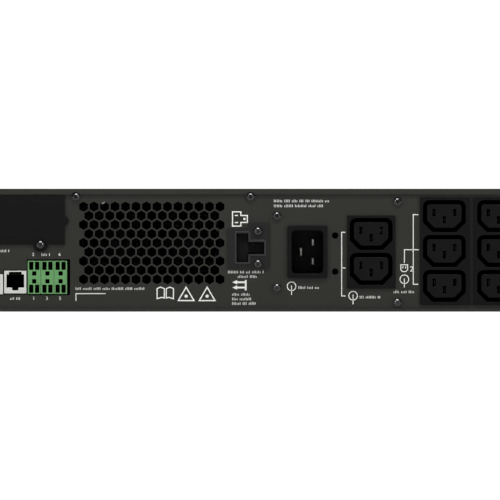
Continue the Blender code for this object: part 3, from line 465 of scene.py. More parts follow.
SLOT_FINISHES = {
    "powder_coat": CHARCOAL,
    "cover_plastic": COVER,
    "connector_black": BLACK,
    "bezel_plastic": BEZEL,
    "fan_plastic": FAN_BLACK_AND_PAINTED_SHADE,
    "port_grey": GREY,
    "terminal_green": GREEN,
    "plated_steel": ZINC,
    "black_screw": SCREW,
    "contact_metal": NICKEL,
    "circuit_board": BOARD,
    "heatsink_metal": BLADE,
    "battery_block": CASE,
    "capacitor_sleeve": SLEEVE,
    "winding": COPPER,
    "display_glass": LENS,
    "button_rubber": RUBBER,
}


def paint_frame():
    """Gives each CAD node the finish of its material slot."""
    for name, obj in frame["nodes"].items():
        for slot in obj.material_slots:
            slot.material = SLOT_FINISHES[SLOTS[name]]


# ---- outlets and inlet

OUTLET_PITCH = 23.6
OUTLET_CORE = (23.2, 15.8)
OUTLET_WELL = (29.0, 21.6)
HEAVY_CORE = (19.2, 26.8)
SLOT_SIZE = (2.3, 5.0)
MODULE_INSET = 1.3
WELL_DEPTH = 17.0


def hollow(body, mouths, back, floor, seat, block=PAINTED_SHADE):
    """A socket's body: walls of its mouths from floor to seat, and a solid block behind them, both in
    painted shade unless another block finish is given.
    """
    walls = plates(PAINTED_SHADE, ([body, *mouths], floor, seat - 0.01))
    return walls + plates(block, ([body], back + INSET, floor - 0.01, 0.3))


def outlet_module(name, wells, cores, slots):
    """Flange, wells and cores, and two spring leaves in each contact slot, given as (centre, size)."""
    box, back, face = on_plane(name)
    flange = soft_box(grown(box, -INSET), 0.7)
    body = soft_box(grown(box, -MODULE_INSET), 0.3, 2)
    floor, seat, core_face = face - WELL_DEPTH, SKIN - 1.2, face - 0.4
    cores = cores + [soft(*slot, 0.25, 2) for slot in slots]
    leaves = [
        block((centre[0] + side * width * 0.34, centre[1]), (width * 0.2, height * 0.8))
        for centre, (width, height) in slots
        for side in (-1, 1)
    ]
    parts = plates(BLACK, ([flange, *wells], seat, face, 0.22), (cores, face - 4, core_face, 0.35))
    parts += hollow(body, wells, back, floor, seat)
    # The cores below their faces, with their slots, in painted shade.
    parts += plates(PAINTED_SHADE, (cores, floor - 0.01, face - 4.01))
    parts += plates(NICKEL, (leaves, face - 15, face - 9, 0.08, 1))
    stand_in(name, "moulding", parts)


def outlet_column(name, count, shift=(0, 0)):
    """10 A outlets, one above the other. shift is how far their middle is from the flange's."""
    u, v = moved([centre_of(name)], shift)[0]
    centres = [(u, v + (k - (count - 1) / 2) * OUTLET_PITCH) for k in range(count)]
    wells = [keyed(c, OUTLET_WELL, 4.4, 6.5) for c in centres]
    cores = [keyed(c, OUTLET_CORE, 1.8, 4.9) for c in centres]
    contacts = [(-7, 2.3), (7, 2.3), (0, -2.6)]
    slots = [(contact, SLOT_SIZE) for c in centres for contact in moved(contacts, c)]
    outlet_module(name, wells, cores, slots)


def heavy_outlet(name):
    """One 16 A outlet, turned on its side."""
    c = centre_of(name)
    well = soft(c, [side + 5.0 for side in HEAVY_CORE], 4.2)
    contacts = ((3.6, 6.5, 5.4), (3.6, -6.5, 5.4), (-4.4, 0, 6.4))
    slots = [((c[0] + du, c[1] + dv), (SLOT_SIZE[0], height)) for du, dv, height in contacts]
    outlet_module(name, [well], [soft(c, HEAVY_CORE, 2.0)], slots)


def joining_strip():
    """Ridge that fills the gap between the two columns of three outlets."""
    left, _, face = on_plane("outlet_triple_inner")
    right = on_plane("outlet_triple_outer")[0]
    gap = (left[2] + 0.05, left[1], right[0] - 0.05, left[3])
    low = REAR + 0.02
    ridge = soft_box(grown(gap, -0.9), 0.5)
    parts = plates(STRIP, ([rectangle(*gap)], low, face - 0.5, 0.15), ([ridge], low, face - 0.1, 0.3))
    piece("outlet_joining_strip", parts, slot="connector_black")


def inlet():
    """The 16 A inlet: a flange, a deep cavity with a stepped mouth, and three blades with tapered tips."""
    box, back, face = on_plane("inlet_housing")
    flange = soft_box(grown(box, -INSET), 1.2)
    body = soft_box(grown(box, -MODULE_INSET), 0.8)
    mouth, lead = soft(middle(box), (21.4, 29.0), 3.0), soft(middle(box), (22.4, 30.0), 3.4)
    seat, step, floor = face - 1.6, face - 0.6, face - 18
    parts = plates(BLACK, ([flange, lead], step, face, 0.2), ([flange, mouth], seat, step - 0.01, 0.1))
    stand_in("inlet_housing", "moulding", parts + hollow(body, [mouth], back, floor, seat, BLACK))
    for pin in ("line", "neutral", "earth"):
        blade, low, high = on_plane(f"inlet_pin_{pin}")
        steps = ((low, 0.01), (high - 1.8, 0.01), (high - 0.3, 0.4), (high - 0.01, 0.6))
        sections = [[(*point, h) for point in soft_box(grown(blade, -by), 0.3, 2)] for h, by in steps]
        stand_in(f"inlet_pin_{pin}", "blade", [(lofted(sections), PIN)])


# ---- signal and battery sockets

SOCKET_BAR = (210.9, 33.3, 218.9, 52.9)
SOCKET_STEM = (218.9, 38.8, 229.6, 47.1)
SOCKET_STEP = (219.2, 56.0)
SOCKET_RIM = 1.3


def tee(grow):
    """The battery socket's outline: an upright bar with a stem to its right."""
    bar, stem = grown(SOCKET_BAR, grow), grown(SOCKET_STEM, grow)
    lower = [(bar[0], bar[1]), (bar[2], bar[1]), (bar[2], stem[1]), (stem[2], stem[1])]
    return lower + [(stem[2], stem[3]), (bar[2], stem[3]), (bar[2], bar[3]), (bar[0], bar[3])]


def soft_tee(grow, radius, steps):
    """The same outline with its outer corners rounded."""
    return rounded(tee(grow), [radius * (k not in (2, 5)) for k in range(8)], steps)


def battery_socket():
    """Stepped flange, raised rim, and a cavity with fine ridges across its bar and ribs in its stem."""
    box, back, face = on_plane("battery_socket")
    low_u, low_v, high_u, high_v = grown(box, -INSET)
    step_u, step_v = SOCKET_STEP
    corners = rectangle(low_u, low_v, high_u, high_v)[:3] + [(step_u, high_v), SOCKET_STEP, (low_u, step_v)]
    flange = rounded(corners, (0.8, 0.8, 0.8, 0.4, 0, 0.8))
    rim, cavity, body = soft_tee(SOCKET_RIM, 0.8, 4), soft_tee(0, 0.4, 2), tee(SOCKET_RIM - 0.05)
    screw_holes = [circle(centre_of(f"socket_screw_{end}"), 2.0, 20) for end in ("upper", "lower")]
    seat, skin, floor = face - 1.8, face - 0.6, back + 4.0
    insert, base = face - 3.5, face - 5.0
    bar_u, bar_low, _, bar_high = SOCKET_BAR
    stem_u, stem_low, stem_end, stem_high = SOCKET_STEM
    rib_levels = [stem_low + (stem_high - stem_low) * k / 4 for k in (1, 2, 3)]
    ribs = [rectangle(stem_u - 0.3, v - 0.45, stem_end - 0.4, v + 0.45) for v in rib_levels]
    ridge_lines = [bar_u + 0.6 + 0.9 * k for k in range(3)]
    ridges = [rectangle(u, bar_low + 1, u + 0.35, bar_high - 1) for u in ridge_lines]
    parts = plates(FLANGE, ([flange, tee(0.2), *screw_holes], seat, skin, 0.2))
    parts += plates(RIM, ([rim, cavity], seat, face - 0.01, 0.3))
    # The cavity's walls in painted shade.
    parts += plates(PAINTED_SHADE, ([body, cavity], floor, seat - 0.01))
    parts += plates(
        BLACK,
        ([body], back + INSET, floor - 0.01, 0.2),
        ([soft_box(grown(SOCKET_BAR, -0.05), 0.4, 2)], floor, insert, 0.3),
        (ridges, insert - 0.1, insert + 0.15, 0.1),
        ([rectangle(*SOCKET_STEM)], floor, base),
        (ribs, base - 0.1, insert + 0.1, 0.3),
    )
    stand_in("battery_socket", "moulding", parts)


def modular_jack():
    """Socket with shoulders above, a latch notch below and eight spring wires inside."""
    box, back, face = on_plane("modular_jack")
    centre = middle(box)[0]
    mouth_half, top_half, notch_half = 5.95, 4.3, 2.15
    notch, bottom, shoulder, top = (box[1] + 2.1, box[1] + 4.0, box[3] - 2.5, box[3] - 0.8)
    right = [(notch_half, notch), (notch_half, bottom), (mouth_half, bottom)]
    right += [(mouth_half, shoulder), (top_half, shoulder), (top_half, top)]
    mouth = moved(right, (centre, 0)) + [(centre - a, b) for a, b in reversed(right)]
    shell = soft_box(grown(box, -INSET), 0.5)
    floor, seat = back + 7.6, face - 1.0
    wires = [block((centre + (k - 3.5) * 1.02, top - 1.3), (0.4, 1.8)) for k in range(8)]
    parts = plates(GREY, ([shell, mouth], seat, face, 0.15)) + hollow(shell, [mouth], back, floor, seat)
    stand_in("modular_jack", "moulding", parts + plates(GILT_AND_PAINTED_SHADE, (wires, floor, face - 8.5, 0.1, 1)))


def usb_port():
    """Square port with a chamfered mouth and a tongue."""
    box, back, face = on_plane("usb_port")
    centre = middle(box)
    low_a, low_b, high_a, high_b = around(centre, (8.5, 7.8))
    cut = 1.6
    mouth = [(low_a, low_b), (high_a, low_b), (high_a, high_b - cut), (high_a - cut, high_b)]
    mouth += [(low_a + cut, high_b), (low_a, high_b - cut)]
    shell = soft_box(grown(box, -INSET), 0.4)
    floor, seat = back + 6, face - 1.0
    places = moved([(side * 1.25, up * 1.6) for side in (-1, 1) for up in (-1, 1)], centre)
    contacts = [block(place, (1.0, 0.12)) for place in places]
    parts = plates(GREY, ([shell, mouth], seat, face, 0.15)) + hollow(shell, [mouth], back, floor, seat)
    parts += plates(GREY, ([soft(centre, (5.6, 3.1), 0.3, 2)], floor, face - 1.2, 0.2))
    stand_in("usb_port", "moulding", parts + plates(GILT_AND_PAINTED_SHADE, (contacts, floor, face - 2.0)))


def relay_terminals():
    """Green terminal block: framed wire holes with a steel clamp in each, and release holes between them."""
    box, back, face = on_plane("relay_terminals")
    columns, v = 3, middle(box)[1]
    floor, seat = back + 9, face - 1.3
    column = (box[2] - box[0]) / columns
    sides = [(side, deck) for side in (-1, 1) for deck in (-1, 1)]
    parts = []
    for k in range(columns):
        low = box[0] + column * k
        cell = (low + 0.1, box[1] + 0.02, low + column - 0.1, box[3] - 0.02)
        centre = low + column / 2
        wires = [soft((centre + s * 2.0, v + d * 7.75), (2.9, 5.5), 0.35, 2) for s, d in sides]
        releases = [soft((centre, v + d * 2.65), (2.9, 2.9), 0.3, 2) for d in (-1, 1)]
        clamps = [block((centre + s * 2.0, v + d * 6.6), (2.4, 0.5)) for s, d in sides]
        frames = [soft_box(grown(cell, -by), 0.4, 3) for by in (0, 0.55)]
        shell = soft_box(cell, 0.35, 3)
        front = ([shell, *wires, *releases], seat, face - 0.3, 0.2)
        parts += plates(GREEN, (frames, face - 1.0, face - 0.01, 0.2), front)
        parts += hollow(shell, wires, back, floor, seat)
        # The clamps in the dark gilt, which stands in for the shade deep in the holes.
        parts += plates(GILT_AND_PAINTED_SHADE, (clamps, floor, face - 6.5))
    stand_in("relay_terminals", "moulding", parts)


# ---- rear sheet and what is behind it


def slot_cover():
    """Blank of the card slot: one plate with two screw lugs, a locating tab and a stamped border."""
    (low_u, _, high_u, high_v), back, face = on_plane("slot_cover")
    lugs = [centre_of(f"slot_screw_{end}") for end in ("outer", "inner")]
    lug_radius, tab_radius, tab_v, edge_v = 5.0, 3.2, 61.3, 45.2
    edge_u = high_u - tab_radius + 0.6
    bottom = [(low_u, edge_v)]
    for lug in lugs:
        dip = math.degrees(math.asin((lug[1] - edge_v) / lug_radius))
        bottom += arc(lug, lug_radius, 180 + dip, 360 - dip, 24)
    reach = math.degrees(math.acos((edge_u - high_u + tab_radius) / tab_radius))
    tab = arc((high_u - tab_radius, tab_v), tab_radius, -reach, reach, 16)
    outline = [*bottom, (edge_u, edge_v), *tab, (edge_u, high_v), (low_u, high_v)]
    holes = [circle(lug, 1.85, 20) for lug in lugs]
    border = (low_u + 4, edge_v + 6.5, edge_u - 4, high_v - 4)
    lines = [soft_box(grown(border, by), 1.5) for by in (0, -0.5)]
    blank = ([outline, *holes], back + 0.01, face - 0.06, 0.25)
    stand_in("slot_cover", "blank", plates(COVER, blank, (lines, face - 0.3, face - INSET, 0.04)))


DIAGONALS = [math.pi * (k + 0.5) / 2 for k in range(4)]


def fan_bracket():
    """Sheet in painted shade that holds both fans behind the vent, with a round hole and a finger guard at
    each.
    """
    boxes = [on_plane(f"fan_frame_{side}")[0] for side in ("left", "right")]
    back = on_plane("fan_frame_left")[2] + 0.6
    sheet = (boxes[0][0] - 3.5, boxes[0][1] - 4, boxes[1][2] + 3.5, boxes[0][3] + 4)
    bore, guard, hub, bar = 23.4, (21.5, 15.5, 9.5), 3.4, 1.2
    centres = [middle(box) for box in boxes]
    holes = [circle(c, bore, 48) for c in centres]
    parts = plates(PAINTED_SHADE, ([soft_box(sheet, 1), *holes], back, back + 1, 0.1))
    for c in centres:
        rings = [circle(c, r + by, 40) for r in guard for by in (bar / 2, -bar / 2)]
        arms = spokes(c, hub - 0.5, bore + 2.5, bar, DIAGONALS)
        parts += plates(FAN_BLACK_AND_PAINTED_SHADE, ([*rings, circle(c, hub, 24)], back + 1.1, back + 2.3, 0.3))
        parts += plates(FAN_BLACK_AND_PAINTED_SHADE, (arms, back + 1.05, back + 2.0, 0.2))
    piece("fan_bracket", parts, slot="fan_plastic")


def fan_lead():
    """The left fan's lead, which runs above its frame and is tied to the bracket; the pale tie stands in for
    a glint, a painted highlight in the dark behind the vent.
    """
    box, _, face = on_plane("fan_frame_left")
    h, corner = face + 2.3, (box[0], box[3])
    path = moved([(2, -4), (7, 1.2), (18, 2.1), (box[2] - box[0] - 4, 2.6)], corner)
    tie_as_glint = ribbon(moved([(16.9, 1.4), (18.7, 2.8)], corner), 0.9)
    parts = [(wire([[(*point, h) for point in path]], 0.55), FAN_BLACK_AND_PAINTED_SHADE)]
    piece("fan_lead", parts + plates(GREY, ([tie_as_glint], h + 0.4, h + 0.8, 0.15)), slot="fan_plastic")


def panel_seam():
    """Thin bead in the joint between the two rear sheets, rounded at its ends."""
    left, _, face = on_plane("rear_panel")
    right = on_plane("ac_panel")[0]
    bead = (left[2] + 0.01, left[1] + 0.5, right[0] - 0.01, left[3] - 0.5)
    piece("panel_seam", plates(CHARCOAL, ([soft_box(bead, 0.08)], face - 0.9, face - 0.05, 0.03)))


def retainer_bushes():
    """Black snap-in bushes that line the two holes for a cable retainer."""
    inlet_box = on_plane("inlet_housing")[0]
    for k, rise in enumerate((11.1, -13.3)):
        c = (inlet_box[2] + 5.2, middle(inlet_box)[1] + rise)
        parts = plates(BLACK, (ring(c, 2.35, 1.95, 24), REAR - 6, REAR + 0.02, 0.15))
        # A disc in painted shade deep in each hole.
        parts += plates(PAINTED_SHADE, ([circle(c, 1.9, 24)], REAR - 6, REAR - 4, 0.1))
        piece(f"retainer_bush_{k + 1}", parts, slot="connector_black")


SCREW_HEIGHT = 2.1


def screw_mesh():
    """A screw with a wide cone round its flat top and a cross recess, standing on the plane's origin."""
    height, slope, top_radius = SCREW_HEIGHT, 0.555, 1.4
    cone = [(r, height - slope * (r - top_radius)) for r in (top_radius, 2.45)]
    side = [(2.64, height - 0.78), (2.7, height - 1.1), (2.6, 0)]
    profile = [(0, height), *cone, *side, (1.5, 0), (1.5, -6), (0, -6)]
    arm, half = 1.35, 0.31
    quarter = [(half, arm), (half, half), (arm, half)]
    cross = [Matrix.Rotation(-k * math.pi / 2, 2) @ Vector(point) for k in range(4) for point in quarter]
    recess = [[(*point * wide, h) for point in cross] for wide, h in ((1, height - 1.1), (1.2, height + 1))]
    head, cutter = (bpy.data.objects.new("head", mesh) for mesh in (turned(profile), lofted(recess)))
    for obj in (head, cutter):
        bpy.context.scene.collection.objects.link(obj)
    head.modifiers.new("Recess", "BOOLEAN").object = cutter
    graph = bpy.context.evaluated_depsgraph_get()
    mesh = bpy.data.meshes.new_from_object(head.evaluated_get(graph))
    for obj in (head, cutter):
        bpy.data.objects.remove(obj)
    return mesh


def screws():
    """Puts a detailed screw where each plain one is, each turned to its own angle."""
    blank = screw_mesh()
    turns = random.Random(4)
    for name in (name for name, slot in SLOTS.items() if slot == "black_screw"):
        box, _, face = on_plane(name)
        place = Matrix.Translation((*middle(box), face - SCREW_HEIGHT - 0.01))
        turn = Matrix.Rotation(turns.uniform(0, math.pi / 2), 4, "Z")
        stand_in(name, "head", laid([(blank.copy(), SCREW)], place @ turn), smooth=20)


# ---- printing on the rear

INK_LOW = REAR + 0.01
INK_HIGH = REAR + 0.05
LINE = 0.55
LETTER = (0.37, 1.75)
LETTER_PITCH = 1.02


def wording(u, v, width, seed):
    """A line of print as plain blocks in groups, with no letters. It starts at u and is centred on v."""
    chance = random.Random(seed)
    thickness, height = LETTER
    low = v - height / 2
    blocks, at, left = [], u, 0
    while at < u + width - thickness:
        if left == 0:
            left = chance.randint(3, 8)
            at += LETTER_PITCH if blocks else 0
        tall = height * chance.choice((0.7, 1.0, 1.0))
        blocks.append(rectangle(at, low, at + thickness, low + tall))
        at += LETTER_PITCH
        left -= 1
    return blocks


def digits(text, centre, height):
    return numerals(text, centre, height, INK_LOW, INK_HIGH)


def outlined(outline, place, width=LINE):
    """A closed line of this width just inside an outline, which is moved to a place."""
    there = moved(outline, place)
    return [there, inside(there, width)]


def bracket(u, low, high, reach):
    """Three sides of an upright box, open to the right."""
    return ribbon([(u + reach, high), (u, high), (u, low), (u + reach, low)], LINE)


def plug_symbol(centre, drop=5.8):
    """A ring, and apart from it the short pin that crosses it at the bottom."""
    u, v = centre
    return ring(centre, 3.2, 2.65, 36), [ribbon([(u, v + 0.6), (u, v - drop)], LINE)]


def ink(name, flat, over=(), extra=()):
    """One group of print on the rear: outlines that don't cross, others that cross those, and meshes."""
    layers = [plate(outlines, INK_LOW, INK_HIGH) for outlines in (flat, over) if outlines]
    piece(name, [(mesh, PRINT) for mesh in (*layers, *extra)])


def print_signal_ports():
    """Numbers of the outer terminals, above and below their block, and three short names."""
    box = on_plane("relay_terminals")[0]
    column = (box[2] - box[0]) / 3
    above, below = box[3] + 4.2, box[1] - 3.1
    numbers = [digits(text, (box[0] + column * (k + 0.46), below), 2.2) for k, text in enumerate("135")]
    numbers += [digits(text, (box[0] + column * (k + 0.42), above), 2.2) for k, text in ((0, "2"), (2, "6"))]
    jack, slot = on_plane("modular_jack")[0], on_plane("slot_cover")[0]
    words = wording(box[0] + column * 1.06, above, 6.4, 1)
    words += wording(middle(jack)[0] - 3.4, below, 6.8, 2)
    words += wording(slot[0] + 23.4, slot[1] + 0.5, 13.2, 3)
    ink("print_signal_ports", words, (), numbers)


def print_manual_line():
    """Under the vent: a line of words, a corner bracket, an open book and two plain triangles."""
    start = on_plane("fan_frame_left")[0][0] - 1
    low = on_plane("relay_terminals")[0][1]
    v = low + 0.2
    flat = wording(start, low + 3.6, 47.0, 4)
    flat.append(ribbon([(start + 0.2, v - 4.9), (start + 0.2, v), (start + 20.2, v)], LINE))
    spine = (start + 60.6, v)
    page = [(0.3, -3.4), (2.4, -2.9), (5.9, -3.9), (5.9, 3.6), (3.2, 4.8), (0.3, 3.6)]
    flat += outlined(page, spine, 0.7)
    flat += outlined([(-a, b) for a, b in reversed(page)], spine, 0.7)
    for centre in (start + 74.7, start + 88.9):
        flat += outlined([(-6.0, -5.1), (6.0, -5.1), (0, 5.1)], (centre, v), 0.8)
        flat.append(circle((centre, v - 1.7), 1.1, 20))
    ink("print_manual_line", flat)


def print_battery_socket():
    """The socket's outline above it, and words, two arrows at a bar and more words below it."""
    box = on_plane("battery_socket")[0]
    start, top = box[0] + 2.8, box[1]
    sign = (start, SOCKET_STEP[1] + 1.4)
    outline = [(0, 0), (6.4, 0), (6.4, 2.5), (10.8, 2.5), (10.8, 7.9), (6.4, 7.9), (6.4, 10.4), (0, 10.4)]
    flat = outlined(outline, sign, 0.75)
    for centre, size in (((3.0, 7.6), (2.2, 0.7)), ((3.0, 2.8), (2.2, 0.7)), ((8.4, 5.2), (1.4, 1.4))):
        flat.append(moved(block(centre, size), sign))
    flat += wording(box[0] + 0.2, top - 2.7, 24.4, 5)
    flat += wording(box[0] + 6.8, top - 5.8, 13.0, 6)
    bar = start + 9.9
    flat.append(rectangle(bar - 1.2, top - 15.1, bar, top - 8.1))
    arrow = [(0, 0), (3.3, -1.5), (3.3, -0.6), (8.8, -0.6), (8.8, 0.6), (3.3, 0.6), (3.3, 1.5)]
    arrows = [moved(arrow, (start + 0.2, v)) for v in (top - 9.6, top - 13.2)]
    for k, width in enumerate((11.6, 13.4, 15.9)):
        flat += wording(start + 0.2, top - 17.8 - 3.1 * k, width, 7 + k)
    ink("print_battery_socket", flat, arrows)


def print_inlet():
    """Two lines of words above the inlet, and its rating below it beside a ring with a pin."""
    box = on_plane("inlet_housing")[0]
    top = box[3] + 16.7
    words = wording(box[0] - 9.0, top, 38.0, 11) + wording(box[0] - 9.0, top - 3.3, 33.8, 12)
    sign, pin = plug_symbol((box[0] + 2.9, box[1] - 5.5))
    ink("print_inlet", words + sign + wording(box[0] + 7.6, box[1] - 6.4, 14.0, 13), pin)


def print_outlets():
    """Brackets that tie each group of outlets to its ring and rating."""
    pair = on_plane("outlet_pair")[0]
    u, low, high = pair[0] - 3.6, pair[1] - 5.0, pair[3] - 11.4
    tick = (high + low) / 2 - 2.6
    sign, pin = plug_symbol((pair[0] + 4.1, pair[1] - 4.8))
    flat = [bracket(u, low, high, 2.6), *sign, *wording(pair[0] + 8.7, pair[1] - 5.8, 13.8, 14)]
    over = [ribbon([(u, tick), (u + 2.6, tick)], LINE), *pin]
    left, low, _, high = on_plane("outlet_triple_inner")[0]
    flat.append(bracket(left - 4.4, low + 14.0, high - 11.9, 3.4))
    sign_u, sign_v = left - 10.4, low + 37.4
    sign, pin = plug_symbol((sign_u, low + 17.4), 5.6)
    flat += sign + wording(sign_u - 7.2, low + 8.9, 13.9, 15)
    over += [ribbon([(sign_u, sign_v - 9.0), (sign_u, sign_v), (left - 0.6, sign_v)], LINE), *pin]
    corner = (sign_u - 2.7, low + 22.3)
    flat += outlined([(1.4, 0), (3.8, 0), (5.2, 1.4), (5.2, 5.2), (0, 5.2), (0, 1.4)], corner, 0.6)
    flat += [moved(rectangle(a, 2.4, a + 0.6, 3.8), corner) for a in (1.4, 3.2)]
    ink("print_outlets", flat, over, [digits("2", (corner[0] + 7.6, corner[1] + 1.9), 3.6)])


# ---- front shells

BEZEL_WALL = 2.5
LOUVRE_HEIGHT = 3.0
LOUVRE_PITCH = 6.5
LOUVRES = {
    "front_bezel": ((99, 8, 117.5, 80), (194.8, 8, 213.3, 80)),
    "drawer_fascia": ((-212, 8, -121, 80), (-7, 8, 83.7, 80), (-112, 47, -16, 80)),
}
FILTER_BAR = 15
GRIP = (-109.0, 12.0, -19.0, 38.0)
GRIP_WALL = 3.0
GRIP_DEPTH = 26.0
KEYS = ("button_escape", "button_down", "button_up", "button_enter")
KEY_INSET = 0.8
KEY_GAP = 0.3


def louvres(column):
    """Slots with round ends, one above the other, that fill a box."""
    low_a, low_b, high_a, high_b = column
    count = int((high_b - low_b - LOUVRE_HEIGHT) / LOUVRE_PITCH) + 1
    lows = [low_b + k * LOUVRE_PITCH for k in range(count)]
    return [soft_box((low_a, low, high_a, low + LOUVRE_HEIGHT), LOUVRE_HEIGHT * 0.499, 5) for low in lows]


def filter_mat(column, face):
    """Foam behind a column of louvres, held by a frame with upright bars."""
    area = (column[0] - 1.2, column[1] - 1.5, column[2] + 1.2, column[3])
    bays = int((column[2] - column[0]) / FILTER_BAR)
    step = (area[2] - area[0]) / bays
    cells = [(area[0] + k * step, area[1], area[0] + (k + 1) * step, area[3]) for k in range(bays)]
    mat = soft_box(area, 1)
    holes = [soft_box(grown(cell, -0.8), 1) for cell in cells]
    foam = plates(FOAM, ([mat], face - 6.6, face - 4.2, 0.3))
    return foam + plates(BEZEL, ([mat, *holes], face - 4.15, face - 2.55, 0.2))


def front_shell(name, body, openings, more=()):
    """A moulded front, open at its back, with a filter mat behind each of its columns of louvres."""
    box, back, face = on_plane(name, FRONT_PLANE)
    columns = LOUVRES[name]
    slots = [slot for column in columns for slot in louvres(column)]
    front = ([soft_box(grown(box, -0.01), 2), *slots, *openings], face - BEZEL_WALL, face, 0.7, 3)
    walls = ([soft_box(grown(box, -0.03), 2), soft_box(grown(box, -BEZEL_WALL), 1)], back, face - 0.8)
    stand_in(name, "shell", [*plates(BEZEL, front, walls), *more], FRONT_PLANE)
    mats = [part for column in columns for part in filter_mat(column, face)]
    piece(f"{name}_filters", mats, FRONT_PLANE, body)


def drawer_fascia():
    """The drawer's front: louvres on three sides of a grip pocket that has ribs on its floor."""
    _, back, face = on_plane("drawer_fascia", FRONT_PLANE)
    low_a, low_b, high_a, _ = GRIP
    hole, shell = soft_box(GRIP, 3), soft_box(grown(GRIP, GRIP_WALL), 4)
    floor = face - GRIP_DEPTH
    ribs = [soft_box((low_a + 6, low_b + k, high_a - 6, low_b + k + 0.8), 0.35) for k in (1.5, 4, 6.5)]
    bosses = [circle((a, 60), 3.6, 24) for a in (low_a - 7.6, high_a + 7.6)]
    pocket = plates(
        BEZEL,
        ([shell, hole], floor, face - BEZEL_WALL + 0.1),
        ([shell], floor - GRIP_WALL, floor - 0.01, 0.4),
        (ribs, floor - 0.1, floor + 0.8, 0.25),
        (bosses, back - 0.2, face - BEZEL_WALL - 1.9),
    )
    front_shell("drawer_fascia", "drawer", [hole], pocket)


def release_paddle():
    """Lever in the grip, with a rolled edge, ribs for the fingers, an arrow and the pin that it turns on."""
    low_a, low_b, high_a, _ = on_plane("release_paddle", FRONT_PLANE)[0]
    level, pin_height = 280.0, 33.5
    blade = (low_a + 1.8, low_b, high_a - 1.8, low_b + 18)
    starts = [(a, blade[1] + k) for k in (3, 5.5, 8) for a in (blade[0] + 4, blade[2] - 32)]
    grips = [soft_box((a, b, a + 28, b + 0.9), 0.4) for a, b in starts]
    arrow = moved([(-3, 2.2), (0, -2.2), (3, 2.2)], (middle(blade)[0], blade[1] + 6))
    lever = ([soft_box(blade, 1.4)], level - 1.2, level + 0.9, 0.8, 3)
    parts = plates(BEZEL, lever, (grips, level + 0.8, level + 1.19, 0.15))
    parts += plates(PRINT, ([arrow], level + 0.85, level + 0.98))
    pin = plates(BEZEL, ([circle((-level, pin_height), 1.5, 24)], low_a + 0.01, high_a - 0.01, 0.2))
    stand_in("release_paddle", "lever", laid(parts, FRONT_PLANE) + laid(pin, SIDE_PLANE), TOP_PLANE)


def display():
    """Round pod with a bright trim ring, and holes for its window and keys."""
    box, back, face = on_plane("display_pod", FRONT_PLANE)
    c = middle(box)
    radius, flange = 32.1, 35.0
    window = on_plane("display_window", FRONT_PLANE)[0]
    keys = [soft_box(grown(on_plane(name, FRONT_PLANE)[0], KEY_GAP - KEY_INSET), 1.2) for name in KEYS]
    parts = plates(
        BEZEL,
        ([circle(c, radius, 72), soft_box(grown(window, 0.3), 1.2), *keys], face - 3.39, face, 0.6, 3),
        ([soft_box(grown(window, 0.6), 1.2)], face - 3.3, face - 1.51),
        (ring(c, radius - 0.03, radius - 2, 72), back, face - 0.7),
        (ring(c, flange, radius - 0.2, 72), face - 3.8, face - 1.81, 0.2),
    )
    parts += plates(ZINC, (ring(c, 31.3, 30.6, 72), face - 0.3, face + 0.06, 0.1))
    stand_in("display_pod", "shell", parts, FRONT_PLANE)


def display_lens():
    """Lens that shows two bar graphs, a line and three numbers."""
    window, _, face = on_plane("display_window", FRONT_PLANE)
    low_a, low_b, high_a, high_b = window
    centre, middle_b = middle(window)
    graphs = [block((centre, middle_b - 1.05), (18, 0.3))]
    for left, lit in ((low_a + 3, 4), (high_a - 9, 2)):
        frame_line = soft_box((left, low_b + 3, left + 6, high_b - 3), 0.6)
        graphs += [frame_line, inside(frame_line, 0.35)]
        graphs += [moved(rectangle(1, 4, 5, 6.4), (left, low_b + 3.3 * k)) for k in range(lit)]
    ink_low, ink_high = face - 0.05, face - 0.01
    numbers = [("230", (centre, high_b - 7), 5.6)]
    numbers += [(text, (centre + a, low_b + 6.3), 3.4) for text, a in (("50", -5), ("98", 5))]
    parts = plates(LENS, ([soft_box(window, 1)], face - 1.0, face - 0.03, 0.25, 3))
    parts += plates(PRINT, (graphs, ink_low, ink_high))
    parts += [(numerals(*number, ink_low, ink_high), PRINT) for number in numbers]
    stand_in("display_window", "lens", parts, FRONT_PLANE)


def key_sign(name):
    """The outlines of a key's sign: a cross, a triangle that points down or up, or a hooked arrow."""
    if name == "button_escape":
        return [ribbon([(-1, -side), (1, side)], 0.4) for side in (1, -1)]
    if name == "button_enter":
        hook = ribbon([(1.5, 1.1), (1.5, -0.4), (-0.4, -0.4)], 0.4)
        return [hook, [(-0.4, 0.5), (-1.7, -0.4), (-0.4, -1.3)]]
    up = 1 if name == "button_up" else -1
    return [[(-1.3, -0.9 * up), (1.3, -0.9 * up), (0, 1.2 * up)]]


def keys():
    """Four domed keys with a sign on each and a skirt that holds them in the pod."""
    for name in KEYS:
        box, back, face = on_plane(name, FRONT_PLANE)
        key = soft_box(grown(box, -KEY_INSET), 1.0)
        skirt = soft_box(grown(box, -INSET), 1.0)
        parts = plates(RUBBER, ([key], back + 0.5, face - 0.04, 0.5, 3))
        parts += plates(RUBBER, ([skirt], back + 0.01, back + 1.4, 0.15))
        signs = [moved(outline, middle(box)) for outline in key_sign(name)]
        parts += plates(PRINT, *[([sign], face - 0.06, face - 0.01) for sign in signs])
        stand_in(name, "key", parts, FRONT_PLANE)


RACK_HOLES = 465.1


